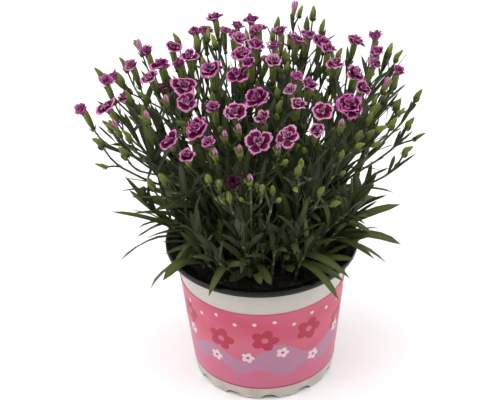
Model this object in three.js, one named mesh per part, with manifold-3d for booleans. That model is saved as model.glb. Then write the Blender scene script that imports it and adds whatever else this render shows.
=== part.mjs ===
// A dianthus (garden pink) in its nursery pot: a white pot with a printed band, a black liner with a rolled
// rim, potting mix, leafy shoots with buds, and double flowers.
// Millimetres, +Z up. The origin is the middle of the pot's underside, and -Y is the front.

import * as THREE from "three";
import { mergeVertices } from "three/addons/utils/BufferGeometryUtils.js";
import Module from "manifold-3d";

const wasm = await Module();
wasm.setup();

// ---------- driving sizes: pot ----------
const RIM_RADIUS = 65; // outside of the liner's rolled rim
const RIM_TOP = 102;
const RIM_UNDER = 99;
const POT_BASE_RADIUS = 47.8; // outside of the white wall, taken down to z = 0
const POT_TAPER = 0.1066; // wall radius gained per mm of height
const POT_WALL = 1.1;
const POT_TOP = 97.4;
const POT_SIDES = 24;
const FEET = 12;
const FOOT_HEIGHT = 3.6; // height of the arched gaps between the feet
const FOOT_GAP = 12; // width of each gap
const FOOT_PHASE = -87.5; // direction of the gap nearest the front, in degrees from +X
const FLOOR_LOW = 4.4;
const FLOOR_THICK = 1.4;
const STAND_RADIUS = 9; // flat disc in the middle of the floor, level with the feet
const DRAIN_HOLES = 6;
const DRAIN_RADIUS = 4;
const DRAIN_RING = 30;
const BAND_LOW = 10.3;
const BAND_HIGH = 78;
const BAND_THICK = 0.4;
const SKIN_GAP = 0.3; // clearance between pieces that touch
const LINER_WALL = 1;
const SOIL_LEVEL = 92;
const SOIL_CROWN = 3; // the mix stands higher in the middle
const SOIL_BUMP = 1.6;
const SOIL_RADIUS = 56; // at the top of the mix

// ---------- driving sizes: plant ----------
const SEED = 20;
const SHOOTS = 18;
const BLOOM_NODES = 38; // the largest flowers are bodies of their own
const FOOT_SPREAD = 42; // how far out the feet of the shoots reach
const FOOT_RADIUS = 1.9;
const HOLE_RADIUS = 2.8;
const TUFT_LEAVES = 2; // leaves from the foot of each shoot
const SKIRT_LEAVES = 46; // leaves that spread outward, low on the outer shoots
const SKIRT_FRONT = -0.75; // the skirt leaves the front of the rim bare
const ROOT_DEPTH = 9;
const STEM_RADIUS = 1.1;
const NECK_RADIUS = 0.9; // stem just under a head
const CALYX_LENGTH = 13;
const CALYX_RADIUS = 2.3;
const MOUTH_DEPTH = 1.4;
const BUD_LENGTH = 11;
const BUD_RADIUS = 2.3;
const HEAD_GAP = 1.8; // air that heads keep between them
const MAIN_BENDS = 5; // bends of a main stem, between which leaves and branches grow
const BRANCH_BENDS = 2;
const FORK_DROP = [30, 80]; // how far below its head a branch leaves the main stem
const PETAL_RISE = 3; // from the calyx mouth up to the middle of the open flower
const LEAF_LENGTH = 42;
const LEAF_WIDTH = 4.8;
const LEAF_THICK = 0.9;
const RIM_LEAF_WIDTH = 6.4;
const CLEAR = 1; // least air between pieces that don't belong together
const BALL_STEP = 2.5; // spacing of the balls that stand for a stem when clearances are tested
const STEM_TRIES = 40;
const GOLDEN_ANGLE = 137.508; // degrees from each shoot or leaf to the next

// ---------- the crown of the plant ----------
// The heads stand on a low dome with a flaring skirt, which reaches further back than to the front.
const CROWN_TOP = 226;
const CROWN_DROP = 24;
const CROWN_SIDE = 116;
const CROWN_FRONT = 84;
const CROWN_BACK = 112;
const SKIRT_LOW = 102;
const SKIRT_HIGH = 200;

// Heads are placed by how they show to someone who stands in front and looks down on the plant: mm to the
// right of the line to AIM and mm above it. Each one then stands where its own line first meets the crown.
const SIGHT_TILT = THREE.MathUtils.degToRad(32.94);
const SIGHT_ROLL = THREE.MathUtils.degToRad(-1.66);
const SIGHT_REACH = 1106;
const SIGHT_SPAN = { from: 0.85, to: 1.2, step: 0.0005 }; // shares of the reach that are searched
const AIM = [-7.15, 0, 131.6];

// Flowers: [mm right, mm above, radius, openness, how far it nods to the front].
const FLOWERS = [
  [-111, 60, 5.5, 0.5, 0], [-94, 61, 9, 0.9, 0.5], [-96, 78, 6, 0.6, 0], [-78, 89, 6, 0.7, 0],
  [-68, 98, 6, 0.6, 0], [-66, 81, 7.5, 0.9, 0.6], [-59, 90, 8, 0.9, 0.2], [-52, 101, 6.5, 0.8, 0],
  [-41, 95, 7.5, 0.9, 0.3], [-44, 76, 9.5, 1, 0.6], [-43, 65, 8, 1, 0.6], [-29, 114, 6.5, 0.8, 0],
  [-23, 117, 7, 0.9, 0.1], [-13, 114, 6, 0.8, 0.1], [-4, 118, 7, 0.9, 0.1], [-8, 108, 6, 0.8, 0.2],
  [5, 112, 6, 0.7, 0], [-5, 98, 7.5, 0.9, 0.1], [4, 102, 6.5, 0.8, 0.2], [15, 102, 6, 0.8, 0],
  [21, 112, 6.5, 0.8, 0], [31, 106, 8, 0.9, 0.1], [38, 109, 6.5, 0.8, 0], [45, 106, 7.5, 0.9, 0.1],
  [-25, 87, 7.5, 0.8, 0.1], [-5, 84, 10, 1, 0.8], [3, 90, 6, 0.8, 0.3], [13, 91, 6, 0.7, 0.2],
  [4, 66, 9.5, 1, 0.7], [-8, 59, 9, 0.9, 0.5], [-22, 61, 5, 0.5, 0], [9, 52, 6, 0.7, 0.4],
  [27, 73, 5, 0.6, 0.2], [39, 76, 5.5, 0.6, 0.2], [35, 62, 6, 0.8, 0.4], [5, 39, 9.5, 1, 0.9],
  [25, 42, 9, 1, 0.9], [47, 58, 8, 1, 0.8], [45, 48, 6, 0.8, 0.5], [52, 100, 6, 0.8, 0.2],
  [58, 90, 6.5, 0.9, 0.4], [70, 106, 8, 1, 0.2], [84, 108, 6, 0.7, 0], [85, 98, 5.5, 0.7, 0.1],
  [82, 90, 6.5, 0.8, 0.3], [69, 84, 8, 0.9, 0.5], [74, 75, 6.5, 0.8, 0.3], [66, 62, 10.5, 1, 0.9],
  [98, 86, 4.5, 0.5, 0], [-36, 46, 9, 1, 0.7], [-50, 39, 8, 1, 0.8], [-43, 29, 6, 0.8, 0.7],
  [-11, 13, 5.5, 1, 0.6], [-27, 40, 5, 0.7, 0.3],
];

// Buds: [mm right, mm above].
const BUDS = [
  [29, 126], [42, 125], [38, 118], [48, 116], [93, 101], [98, 97], [112, 71], [98, 64], [95, 52], [106, 52],
  [104, 34], [90, 76], [80, 60], [78, 55], [80, 45], [72, 43], [60, 48], [61, 31], [47, 7], [32, 20],
  [34, 25], [15, 8], [8, 9], [-28, 15], [-20, 12], [-14, 3], [-58, 15], [-66, 11], [19, 33], [-23, 29],
  [-19, 40], [-3, 33], [0, 12], [-54, 64], [-7, 45], [-25, 68], [-31, 92], [18, 72], [19, 62], [20, 90],
  [-86, 81], [-73, 101], [-94, 50], [-89, 48], [-100, 39], [-81, 43], [-84, 32], [-68, 54], [-48, 106],
  [-80, 68],
];

// The long leaves that arch over the rim: [direction from +X, length, rise at the root, droop by the tip].
const RIM_LEAVES = [
  [178, 66, 45, 40], [-166, 62, 44, 95], [-155, 58, 42, 98], [-140, 52, 42, 92], [-121, 54, 46, 104],
  [-80, 26, 46, 85], [-76, 30, 58, 60], [-52, 62, 48, 112], [-40, 50, 48, 80], [-24, 56, 44, 88],
  [-4, 62, 42, 80], [8, 66, 48, 45], [18, 62, 44, 58],
];

// ---------- vectors and draws ----------
const UP = [0, 0, 1];
const FRONT = [0, -1, 0];
const add = (a, b) => [a[0] + b[0], a[1] + b[1], a[2] + b[2]];
const sub = (a, b) => [a[0] - b[0], a[1] - b[1], a[2] - b[2]];
const mul = (a, k) => [a[0] * k, a[1] * k, a[2] * k];
const cross = (a, b) => [a[1] * b[2] - a[2] * b[1], a[2] * b[0] - a[0] * b[2], a[0] * b[1] - a[1] * b[0]];
const dot = (a, b) => a[0] * b[0] + a[1] * b[1] + a[2] * b[2];
const size = (a) => Math.sqrt(dot(a, a));
const unit = (a) => mul(a, 1 / size(a));
const mix = (a, b, t) => add(mul(a, 1 - t), mul(b, t));
const radians = THREE.MathUtils.degToRad;

// A stream of draws from 0 to 1 that is the same on every run.
function draws(seed) {
  let state = seed >>> 0;
  return () => {
    state = (Math.imul(state, 1664525) + 1013904223) >>> 0;
    return state / 2 ** 32;
  };
}
const draw = draws(SEED);
const between = (low, high) => low + (high - low) * draw();

// ---------- layout: crown and heads ----------
const TO_EYE = [0, -Math.cos(SIGHT_TILT), Math.sin(SIGHT_TILT)];
const SIGHT_UP = [0, Math.sin(SIGHT_TILT), Math.cos(SIGHT_TILT)];
const EYE = add(AIM, mul(TO_EYE, SIGHT_REACH));

// Squared distance from the axis, 1 at the crown's edge.
function crownShare(x, y) {
  const deep = y < 0 ? CROWN_FRONT : CROWN_BACK;
  return (x / CROWN_SIDE) ** 2 + (y / deep) ** 2;
}

function crownHeight(x, y) {
  return CROWN_TOP - CROWN_DROP * crownShare(x, y);
}

function isInCrown([x, y, z]) {
  const flare = 0.5 + (0.5 * (z - SKIRT_LOW)) / (SKIRT_HIGH - SKIRT_LOW);
  return z < crownHeight(x, y) && flare > 0 && crownShare(x, y) < flare ** 2;
}

// Where the line of sight through a point beside and above AIM first meets the crown. A line that passes
// over the crown gives its point nearest to the dome.
function onCrown(right, above) {
  const c = Math.cos(SIGHT_ROLL);
  const s = Math.sin(SIGHT_ROLL);
  const target = add(add(AIM, [c * right - s * above, 0, 0]), mul(SIGHT_UP, s * right + c * above));
  const ray = sub(target, EYE);
  let nearest = null;
  let least = Infinity;
  for (let t = SIGHT_SPAN.from; t < SIGHT_SPAN.to; t += SIGHT_SPAN.step) {
    const p = add(EYE, mul(ray, t));
    if (isInCrown(p)) return p;
    const beyond = CROWN_SIDE * Math.max(crownShare(p[0], p[1]) - 1, 0);
    const miss = Math.abs(p[2] - crownHeight(p[0], p[1])) + beyond / 2;
    if (miss < least) [least, nearest] = [miss, p];
  }
  return nearest;
}

// Which way a head faces: up, leaning outward towards the crown's edge, and nodding to the front.
function headAxis([x, y], nod) {
  const outward = [x / CROWN_SIDE, y / CROWN_BACK, 0];
  return unit(add(add(UP, mul(outward, 0.4)), mul(FRONT, 0.65 * nod)));
}

function layHeads() {
  const flowers = FLOWERS.map(([right, above, radius, open, nod]) => ({
    at: onCrown(right, above),
    radius,
    open,
    nod,
  }));
  const buds = BUDS.map(([right, above]) => ({ at: onCrown(right, above), radius: BUD_RADIUS, open: 0, nod: 0 }));
  const heads = [...flowers, ...buds];
  spread(heads);
  for (const head of heads) {
    head.axis = headAxis(head.at, head.nod);
    const sunk = head.open ? PETAL_RISE + CALYX_LENGTH : BUD_LENGTH / 2;
    head.base = sub(head.at, mul(head.axis, sunk));
  }
  return heads;
}

// Push heads apart until none crowds another. Heights count half, so that none stands over another.
function spread(heads) {
  for (let sweep = 0; sweep < 60; sweep++) {
    for (let i = 0; i < heads.length; i++) {
      for (let j = i + 1; j < heads.length; j++) {
        const [a, b] = [heads[i], heads[j]];
        const gap = sub(b.at, a.at);
        const apart = size([gap[0], gap[1], gap[2] / 2]);
        const short = a.radius + b.radius + HEAD_GAP - apart;
        if (short <= 0) continue;
        const push = mul([gap[0], gap[1], gap[2] / 2], (0.6 * short) / apart / (a.radius + b.radius));
        a.at = sub(a.at, mul(push, b.radius));
        b.at = add(b.at, mul(push, a.radius));
      }
    }
  }
}

// ---------- layout: air between pieces ----------
// Everything that is placed leaves balls along it. A shoot keeps clear of the balls of other owners.
const taken = [];

function take(balls, owner, head) {
  for (const [at, radius] of balls) taken.push({ at, radius, owner, head });
}

function isFree(balls, owner, head) {
  return balls.every(([at, radius]) =>
    taken.every((t) => {
      if (t.owner === owner || (head && t.head === head)) return true;
      return size(sub(at, t.at)) > radius + t.radius + CLEAR;
    }),
  );
}

function soilHeight(x, y) {
  const swell = SOIL_CROWN * (1 - (x * x + y * y) / SOIL_RADIUS ** 2);
  return SOIL_LEVEL + swell + SOIL_BUMP * Math.sin(x * 0.31 + 1) * Math.sin(y * 0.27 + 2);
}

function isAboveGround(balls) {
  return balls.every(([[x, y, z], radius]) => {
    const out = Math.hypot(x, y);
    if (out < SOIL_RADIUS) return z > soilHeight(x, y) + radius + 1;
    return z > RIM_TOP + radius + CLEAR || out > RIM_RADIUS + radius + CLEAR;
  });
}

function ballsOnHead(head) {
  const along = head.open ? CALYX_LENGTH : BUD_LENGTH;
  const radius = head.open ? CALYX_RADIUS : BUD_RADIUS;
  return [0.15, 0.5, 0.85].map((t) => [add(head.base, mul(head.axis, along * t)), radius]);
}

function ballsOnPetals(head) {
  const [side, other] = frameOn(head.axis);
  const lift = (1 - head.open) * head.radius;
  const ring = [...Array(8).keys()].map((i) => {
    const turn = (i * Math.PI) / 4;
    const out = add(mul(side, Math.cos(turn)), mul(other, Math.sin(turn)));
    const at = add(head.at, add(mul(out, head.radius * 0.68), mul(head.axis, 0.5 + lift)));
    return [at, head.radius * 0.34];
  });
  return [[add(head.at, head.axis), head.radius * 0.4 + 0.6], ...ring];
}

// Two directions square to an axis and to each other.
function frameOn(axis) {
  const side = unit(cross(axis, Math.abs(axis[2]) < 0.9 ? UP : [0, 1, 0]));
  return [side, cross(side, axis)];
}

// ---------- layout: stems ----------
// A stem is a cubic curve: [start, handle, handle, end].
function pointOn([a, b, c, d], t) {
  const s = 1 - t;
  const near = add(mul(a, s * s * s), mul(b, 3 * s * s * t));
  return add(near, add(mul(c, 3 * s * t * t), mul(d, t * t * t)));
}

function headingOn([a, b, c, d], t) {
  const s = 1 - t;
  const near = add(mul(sub(b, a), s * s), mul(sub(c, b), 2 * s * t));
  return unit(add(near, mul(sub(d, c), t * t)));
}

function ballsOnStem(curve) {
  const count = Math.ceil(size(sub(curve[3], curve[0])) / BALL_STEP);
  return [...Array(count).keys()].map((i) => [pointOn(curve, (i + 0.5) / count), STEM_RADIUS]);
}

function layStem(from, leaving, head, bow) {
  const reach = 0.36 * size(sub(head.base, from));
  const first = add(add(from, mul(leaving, reach)), bow);
  return [from, first, sub(head.base, mul(head.axis, reach)), head.base];
}

// The bends of a stem, from the first above its start to the last below its head, as places on its curve.
function bendsOf(stem) {
  const bends = stem.main ? MAIN_BENDS : BRANCH_BENDS;
  return [...Array(bends).keys()].map((i) => (i + 1) / (bends + 0.5));
}

// The places between two bends of a stem where something grows: a share of the way from each to the next.
function jointsOn(stem, share) {
  const bends = [0, ...bendsOf(stem)].map((t) => pointOn(stem.curve, t));
  return bends.slice(1).map((bend, i) => mix(bends[i], bend, share));
}

// The feet stand in a sunflower pattern, and the crown is shared out in the same pattern at its own size.
function shootPattern(k) {
  const out = Math.sqrt((k + 0.5) / SHOOTS);
  const turn = radians(GOLDEN_ANGLE) * k;
  return [out * Math.cos(turn), out * Math.sin(turn)];
}

function layShoots(heads) {
  const shoots = [...Array(SHOOTS).keys()].map((k) => {
    const [x, y] = mul([...shootPattern(k), 0], FOOT_SPREAD);
    return { k, foot: [x, y, soilHeight(x, y)], heads: [], stems: [], leaves: [] };
  });
  for (const head of heads) {
    const x = head.at[0] / CROWN_SIDE;
    const y = (2 * head.at[1]) / (CROWN_FRONT + CROWN_BACK) - 0.14;
    const away = ({ k }) => {
      const [u, v] = shootPattern(k);
      return Math.hypot(x - u, y - v);
    };
    const owner = shoots.reduce((best, shoot) => (away(shoot) < away(best) ? shoot : best));
    owner.heads.push(head);
  }
  return shoots;
}

// The tallest head of a shoot ends its main stem. The others branch off the main stem below them.
function growStems(shoot) {
  const byHeight = [...shoot.heads].sort((a, b) => b.base[2] - a.base[2]);
  for (const head of byHeight) {
    const stem = findStem(shoot, head);
    if (!stem) continue;
    head.grown = true;
    shoot.stems.push(stem);
    take(ballsOnStem(stem.curve), shoot.k, head);
  }
}

function findStem(shoot, head) {
  const main = shoot.stems[0];
  for (let attempt = 0; attempt < STEM_TRIES; attempt++) {
    const wander = 2 + attempt * 0.4;
    const bow = [between(-wander, wander), between(-wander, wander), 0];
    const drop = between(FORK_DROP[0], FORK_DROP[1] + attempt);
    if (!main) {
      const curve = layStem(shoot.foot, UP, head, bow);
      if (isFree(ballsOnStem(curve), shoot.k, head)) return { curve, head, main: true };
      continue;
    }
    const away = (joint) => Math.abs(joint[2] - (head.base[2] - drop));
    const joint = jointsOn(main, 0.75).reduce((best, other) => (away(other) < away(best) ? other : best));
    const leaving = unit(mix(UP, unit(sub(head.base, joint)), 0.6));
    const curve = layStem(joint, leaving, head, bow);
    if (isFree(ballsOnStem(curve), shoot.k, head)) return { curve, head, main: false };
  }
  return null;
}

// ---------- layout: leaves ----------
// A leaf leaves its root at an angle above the horizon and bends down evenly to its tip.
function layLeaf(root, heading, length, width, rise, droop) {
  const points = [root];
  const steps = 8;
  for (let i = 0; i < steps; i++) {
    const pitch = radians(rise - (droop * (i + 0.5)) / steps);
    const way = add(mul(heading, Math.cos(pitch)), mul(UP, Math.sin(pitch)));
    points.push(add(points[i], mul(way, length / steps)));
  }
  return { points, heading, width };
}

function ballsOnLeaf(leaf) {
  return [2, 3, 4, 5, 6, 7, 8].map((i) => [leaf.points[i], leaf.width * (i === 8 ? 0.2 : 0.4)]);
}

function fits(shoot, leaf) {
  const balls = ballsOnLeaf(leaf);
  return isFree(balls, shoot.k) && isFree(balls.slice(2)) && isAboveGround(balls);
}

const toward = (degrees) => [Math.cos(radians(degrees)), Math.sin(radians(degrees)), 0];

function plantLeaf(shoot, root, direction, shape) {
  for (const steeper of [0, 10, 20]) {
    for (const turn of shape.turns) {
      const { length, width, rise, droop, small } = shape;
      const leaf = { ...layLeaf(root, toward(direction + turn), length, width, rise + steeper, droop), small };
      if (!fits(shoot, leaf)) continue;
      take(ballsOnLeaf(leaf), shoot.k);
      shoot.leaves.push(leaf);
      return;
    }
  }
}

function nearestShoot(shoots, spot) {
  const away = ({ foot }) => Math.hypot(foot[0] - spot[0], foot[1] - spot[1]);
  return shoots.reduce((best, other) => (away(other) < away(best) ? other : best));
}

// Long leaves all round the lower part of the plant, on the outer shoots, at three heights.
function growSkirt(shoots) {
  const turns = [0, 6, -6, 12, -12, 20, -20];
  for (const [direction, length, rise, droop] of RIM_LEAVES) {
    const shoot = nearestShoot(shoots, mul(toward(direction), FOOT_SPREAD));
    const root = mix(...jointsOn(shoot.stems[0], 0).slice(0, 2), 0.15);
    plantLeaf(shoot, root, direction, { length, width: RIM_LEAF_WIDTH, rise, droop, small: false, turns });
  }
  for (let i = 0; i < SKIRT_LEAVES; i++) {
    const direction = GOLDEN_ANGLE * i;
    if (toward(direction)[1] < SKIRT_FRONT) continue;
    const shoot = nearestShoot(shoots, mul(toward(direction), FOOT_SPREAD * between(0.6, 1)));
    const root = jointsOn(shoot.stems[0], between(0.2, 0.8))[i % 2];
    const shape = { length: LEAF_LENGTH * between(0.95, 1.4), width: LEAF_WIDTH * 1.15, small: i % 2 > 0 };
    plantLeaf(shoot, root, direction, { ...shape, rise: between(36, 62), droop: between(20, 80), turns });
  }
}

// Steep leaves round the foot of a shoot.
function growTuft(shoot) {
  const [low, high] = jointsOn(shoot.stems[0], 0);
  const start = between(0, 360);
  for (let i = 0; i < TUFT_LEAVES; i++) {
    const shape = { length: LEAF_LENGTH * between(1, 1.3), width: LEAF_WIDTH * 1.1, small: false };
    const lean = { rise: between(62, 76), droop: between(20, 60), turns: [0, 30, -30] };
    plantLeaf(shoot, mix(low, high, 0.3), start + (360 * i) / TUFT_LEAVES, { ...shape, ...lean });
  }
}

// Leaves stand in pairs up a stem, each pair turned a quarter from the one below, shorter near the head.
function growLeaves(shoot, stem) {
  const start = between(0, 360);
  for (const [i, root] of jointsOn(stem, 0.4).slice(1).entries()) {
    const share = (root[2] - SOIL_LEVEL) / (CROWN_TOP - SOIL_LEVEL);
    for (const half of stem.main ? [0, 180] : [0]) {
      const direction = start + 90 * i + half;
      const length = LEAF_LENGTH * (1.15 - 0.65 * share) * between(0.85, 1.15);
      const width = LEAF_WIDTH * (1.05 - 0.35 * share);
      const lean = { rise: between(58, 74), droop: between(10, 46), turns: [0, 30, -30, 60, -60] };
      plantLeaf(shoot, root, direction, { length, width, small: !stem.main || i > 0, ...lean });
    }
  }
}

// ---------- solids ----------
// A manifold solid from a closed three.js geometry.
function solid(geometry) {
  const bare = geometry.clone();
  bare.deleteAttribute("normal");
  bare.deleteAttribute("uv");
  const merged = mergeVertices(bare, 1e-4);
  const corners = merged.index.array;
  const triVerts = [];
  for (let i = 0; i < corners.length; i += 3) {
    const [a, b, c] = corners.slice(i, i + 3);
    if (a !== b && b !== c && c !== a) triVerts.push(a, b, c);
  }
  const vertProperties = new Float32Array(merged.attributes.position.array);
  return new wasm.Manifold(new wasm.Mesh({ numProp: 3, vertProperties, triVerts: Uint32Array.from(triVerts) }));
}

function geometryOf(body) {
  const { vertProperties, triVerts } = body.getMesh();
  const geometry = new THREE.BufferGeometry();
  geometry.setAttribute("position", new THREE.BufferAttribute(vertProperties, 3));
  geometry.setIndex(new THREE.BufferAttribute(triVerts, 1));
  return geometry;
}

// A closed profile of [radius, height] pairs turned round the Z axis.
function turned(profile, sides) {
  const points = profile.map(([radius, height]) => new THREE.Vector2(radius, height));
  return solid(new THREE.LatheGeometry(points, sides).rotateX(Math.PI / 2));
}

// A turned body that is bent along stations { at, heading, radius }, of which the first and the last are
// points. A leaf's stations also have a side and a depth, which flatten it.
function bent(stations, sides) {
  const profile = stations.map(({ radius }, ring) => new THREE.Vector2(radius, ring));
  const shape = new THREE.LatheGeometry(profile, sides, Math.PI);
  const place = shape.attributes.position;
  let [side] = frameOn(stations[0].heading);
  const frames = stations.map((station) => {
    side = station.side ?? unit(sub(side, mul(station.heading, dot(side, station.heading))));
    return [side, mul(cross(side, station.heading), station.depth ?? 1)];
  });
  for (let i = 0; i < place.count; i++) {
    const ring = i % stations.length;
    const [across, other] = frames[ring];
    const spot = add(mul(across, place.getX(i)), mul(other, place.getZ(i)));
    place.setXYZ(i, ...add(stations[ring].at, spot));
  }
  return solid(shape);
}

// ---------- pot, liner, band and soil ----------
const wallRadius = (z) => POT_BASE_RADIUS + POT_TAPER * z;

function potSolid() {
  const inner = (z) => wallRadius(z) - POT_WALL;
  const floorTop = FLOOR_LOW + FLOOR_THICK;
  let pot = turned(
    [
      [0, 0], [STAND_RADIUS, 0], [STAND_RADIUS, FLOOR_LOW], [inner(FLOOR_LOW), FLOOR_LOW], [inner(0), 0],
      [wallRadius(0), 0], [wallRadius(POT_TOP), POT_TOP], [inner(POT_TOP), POT_TOP],
      [inner(floorTop), floorTop], [0, floorTop],
    ],
    POT_SIDES,
  );
  const arch = solid(
    new THREE.CylinderGeometry(FOOT_GAP / 2, FOOT_GAP / 2, 8 * POT_WALL, 8)
      .rotateZ(Math.PI / 2)
      .scale(1, 1, (2 * FOOT_HEIGHT) / FOOT_GAP)
      .translate(wallRadius(0), 0, 0),
  );
  for (let i = 0; i < FEET; i++) pot = pot.subtract(arch.rotate([0, 0, FOOT_PHASE + (i * 360) / FEET]));
  return drained(pot, FLOOR_LOW - 1, floorTop + 1);
}

function drained(body, low, high) {
  const hole = new THREE.CylinderGeometry(DRAIN_RADIUS, DRAIN_RADIUS, high - low, 8)
    .rotateX(Math.PI / 2)
    .translate(DRAIN_RING, 0, (low + high) / 2);
  const cutter = solid(hole);
  let result = body;
  for (let i = 0; i < DRAIN_HOLES; i++) result = result.subtract(cutter.rotate([0, 0, (i * 360) / DRAIN_HOLES]));
  return result;
}

// The black liner hangs in the pot by its rolled rim.
const linerLow = FLOOR_LOW + FLOOR_THICK + SKIN_GAP;
const linerOuter = (z) => wallRadius(z) - POT_WALL - SKIN_GAP;
const linerInner = (z) => linerOuter(z) - LINER_WALL;

function linerSolid() {
  const neck = RIM_UNDER - 1;
  const profile = [
    [0, linerLow], [linerOuter(linerLow), linerLow], [linerOuter(neck), neck], [RIM_RADIUS - 0.8, neck],
    [RIM_RADIUS, RIM_UNDER], [RIM_RADIUS, RIM_TOP - 1], [RIM_RADIUS - 1.2, RIM_TOP], [RIM_RADIUS - 2.6, RIM_TOP],
    [linerInner(neck) + 1, neck + 1.2], [linerInner(neck), neck],
    [linerInner(linerLow + LINER_WALL), linerLow + LINER_WALL], [0, linerLow + LINER_WALL],
  ];
  return drained(turned(profile, POT_SIDES), linerLow - 1, linerLow + LINER_WALL + 1);
}

function bandSolid() {
  const inner = (z) => wallRadius(z) + SKIN_GAP;
  const profile = [
    [inner(BAND_LOW), BAND_LOW], [inner(BAND_LOW) + BAND_THICK, BAND_LOW],
    [inner(BAND_HIGH) + BAND_THICK, BAND_HIGH], [inner(BAND_HIGH), BAND_HIGH], [inner(BAND_LOW), BAND_LOW],
  ];
  return turned(profile, POT_SIDES);
}

// The potting mix fills the liner, with an uneven top and a hole for the foot of each shoot.
function soilSolid(shoots) {
  const low = linerLow + LINER_WALL + SKIN_GAP;
  const edge = linerInner(SOIL_LEVEL) - SKIN_GAP;
  const rings = [1, 0.7, 0.4];
  const profile = [[0, low], [linerInner(low) - SKIN_GAP, low]];
  for (const share of rings) profile.push([edge * share, SOIL_LEVEL]);
  profile.push([0, SOIL_LEVEL]);
  const points = profile.map(([radius, height]) => new THREE.Vector2(radius, height));
  const shape = new THREE.LatheGeometry(points, POT_SIDES).rotateX(Math.PI / 2);
  const place = shape.attributes.position;
  for (let i = 0; i < place.count; i++) {
    const [x, y, z] = [place.getX(i), place.getY(i), place.getZ(i)];
    if (z > SOIL_LEVEL - 1) place.setZ(i, Math.hypot(x, y) > edge - 1 ? SOIL_LEVEL - 1 : soilHeight(x, y));
  }
  const hole = new THREE.CylinderGeometry(HOLE_RADIUS, HOLE_RADIUS, 2 * ROOT_DEPTH + 1, 6).rotateX(Math.PI / 2);
  const holes = shoots.map(({ foot }) => solid(hole).translate(foot));
  return solid(shape).subtract(wasm.Manifold.union(holes));
}

// ---------- plant pieces ----------
// A stem with its head's green parts: a root in the soil or in the parent stem, then the curve, then the
// calyx, which is open at the mouth, or the closed bud.
function stemSolid({ curve, head, main }) {
  const stations = [];
  const put = (at, heading, radius) => stations.push({ at, heading, radius });
  if (main) {
    put(sub(curve[0], mul(UP, ROOT_DEPTH)), UP, 0);
    put(sub(curve[0], mul(UP, ROOT_DEPTH)), UP, FOOT_RADIUS);
    put(curve[0], UP, FOOT_RADIUS);
  } else {
    put(sub(curve[0], mul(headingOn(curve, 0), 0.5)), headingOn(curve, 0), 0);
  }
  for (const t of bendsOf({ main })) {
    put(pointOn(curve, t), headingOn(curve, t), THREE.MathUtils.lerp(STEM_RADIUS, NECK_RADIUS, t));
  }
  const along = (s) => add(head.base, mul(head.axis, s));
  put(along(0), head.axis, NECK_RADIUS);
  if (head.open) {
    put(along(CALYX_LENGTH), head.axis, CALYX_RADIUS);
    put(along(CALYX_LENGTH - MOUTH_DEPTH), head.axis, 0);
  } else {
    put(along(0.45 * BUD_LENGTH), head.axis, BUD_RADIUS);
    put(along(BUD_LENGTH), head.axis, 0);
  }
  return bent(stations, 4);
}

// A leaf is a three-sided strip with its keel down, from a point inside the stem to its tip.
function leafSolid({ points, heading, width, small }) {
  const side = cross(heading, UP);
  const outline = small ? [[0, 0], [3, 1], [8, 0]] : [[0, 0], [3, 1], [6, 0.75], [8, 0]];
  const stations = outline.map(([i, share]) => {
    const way = unit(sub(points[Math.min(i + 1, 8)], points[Math.max(i - 1, 0)]));
    const radius = (width * share) / Math.sqrt(3);
    return { at: points[i], heading: way, side, radius, depth: LEAF_THICK / 1.5 / (radius || 1) };
  });
  return bent(stations, 3);
}

// One petal's edge as [share of the radius, lift]: a cleft, a lobe and a higher lobe.
const PETAL_EDGE = [[0.62, -0.5], [0.97, -0.2], [1, 0.5]];
const SMALL_PETAL_EDGE = [[0.64, -0.3], [1, 0.2]];
const LARGE_FLOWER = 7; // flowers over this radius have the fuller edge

// A flower's underside runs to a point, which is loose in the calyx's mouth or sunk deep into it.
const APEX_LOOSE = -0.6;
const APEX_SUNK = -2.5;

// Two whorls of five petals: an outer one, a groove, and a smaller one that stands up inside it.
function bloomSolid(head, apex) {
  const edge = head.radius > LARGE_FLOWER ? PETAL_EDGE : SMALL_PETAL_EDGE;
  const cup = PETAL_RISE + (1 - head.open) * head.radius * 1.2;
  const rings = [
    { share: 0, rise: apex, waved: 0 },
    { share: 1, rise: cup, waved: 1 },
    { share: 0.36, rise: cup + 0.4, waved: 0 },
    { share: 0.66, rise: cup + 0.26 * head.radius, waved: 1, inner: true },
    { share: 0, rise: cup + 0.12 * head.radius, waved: 0 },
  ];
  const points = rings.map(({ share }, i) => new THREE.Vector2(share * head.radius, i));
  const shape = new THREE.LatheGeometry(points, 5 * edge.length);
  const place = shape.attributes.position;
  const [side, other] = frameOn(head.axis);
  const mouth = add(head.base, mul(head.axis, CALYX_LENGTH));
  for (let i = 0; i < place.count; i++) {
    const ring = rings[i % rings.length];
    const step = Math.floor(i / rings.length) + (ring.inner ? 1 : 0);
    const [reach, lift] = ring.waved ? edge[step % edge.length] : [1, 0];
    const out = add(mul(side, place.getX(i) * reach), mul(other, place.getZ(i) * reach));
    place.setXYZ(i, ...add(mouth, add(out, mul(head.axis, ring.rise + lift))));
  }
  return solid(shape);
}

// ---------- materials ----------
const finish = (color, roughness) => new THREE.MeshStandardMaterial({ color, roughness, metalness: 0 });
const white = finish(0xeceae4, 0.35);
const black = finish(0x17181a, 0.3);
const pink = finish(0xe36a9c, 0.4);
const peat = finish(0x2b2019, 0.95);
const green = finish(0x4d6b3a, 0.6);
const magenta = finish(0xb93a86, 0.6);

// ---------- assembly ----------
const plant = new THREE.Group();

function place(name, body, material) {
  const mesh = new THREE.Mesh(geometryOf(body), material);
  mesh.name = name;
  plant.add(mesh);
}

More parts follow.
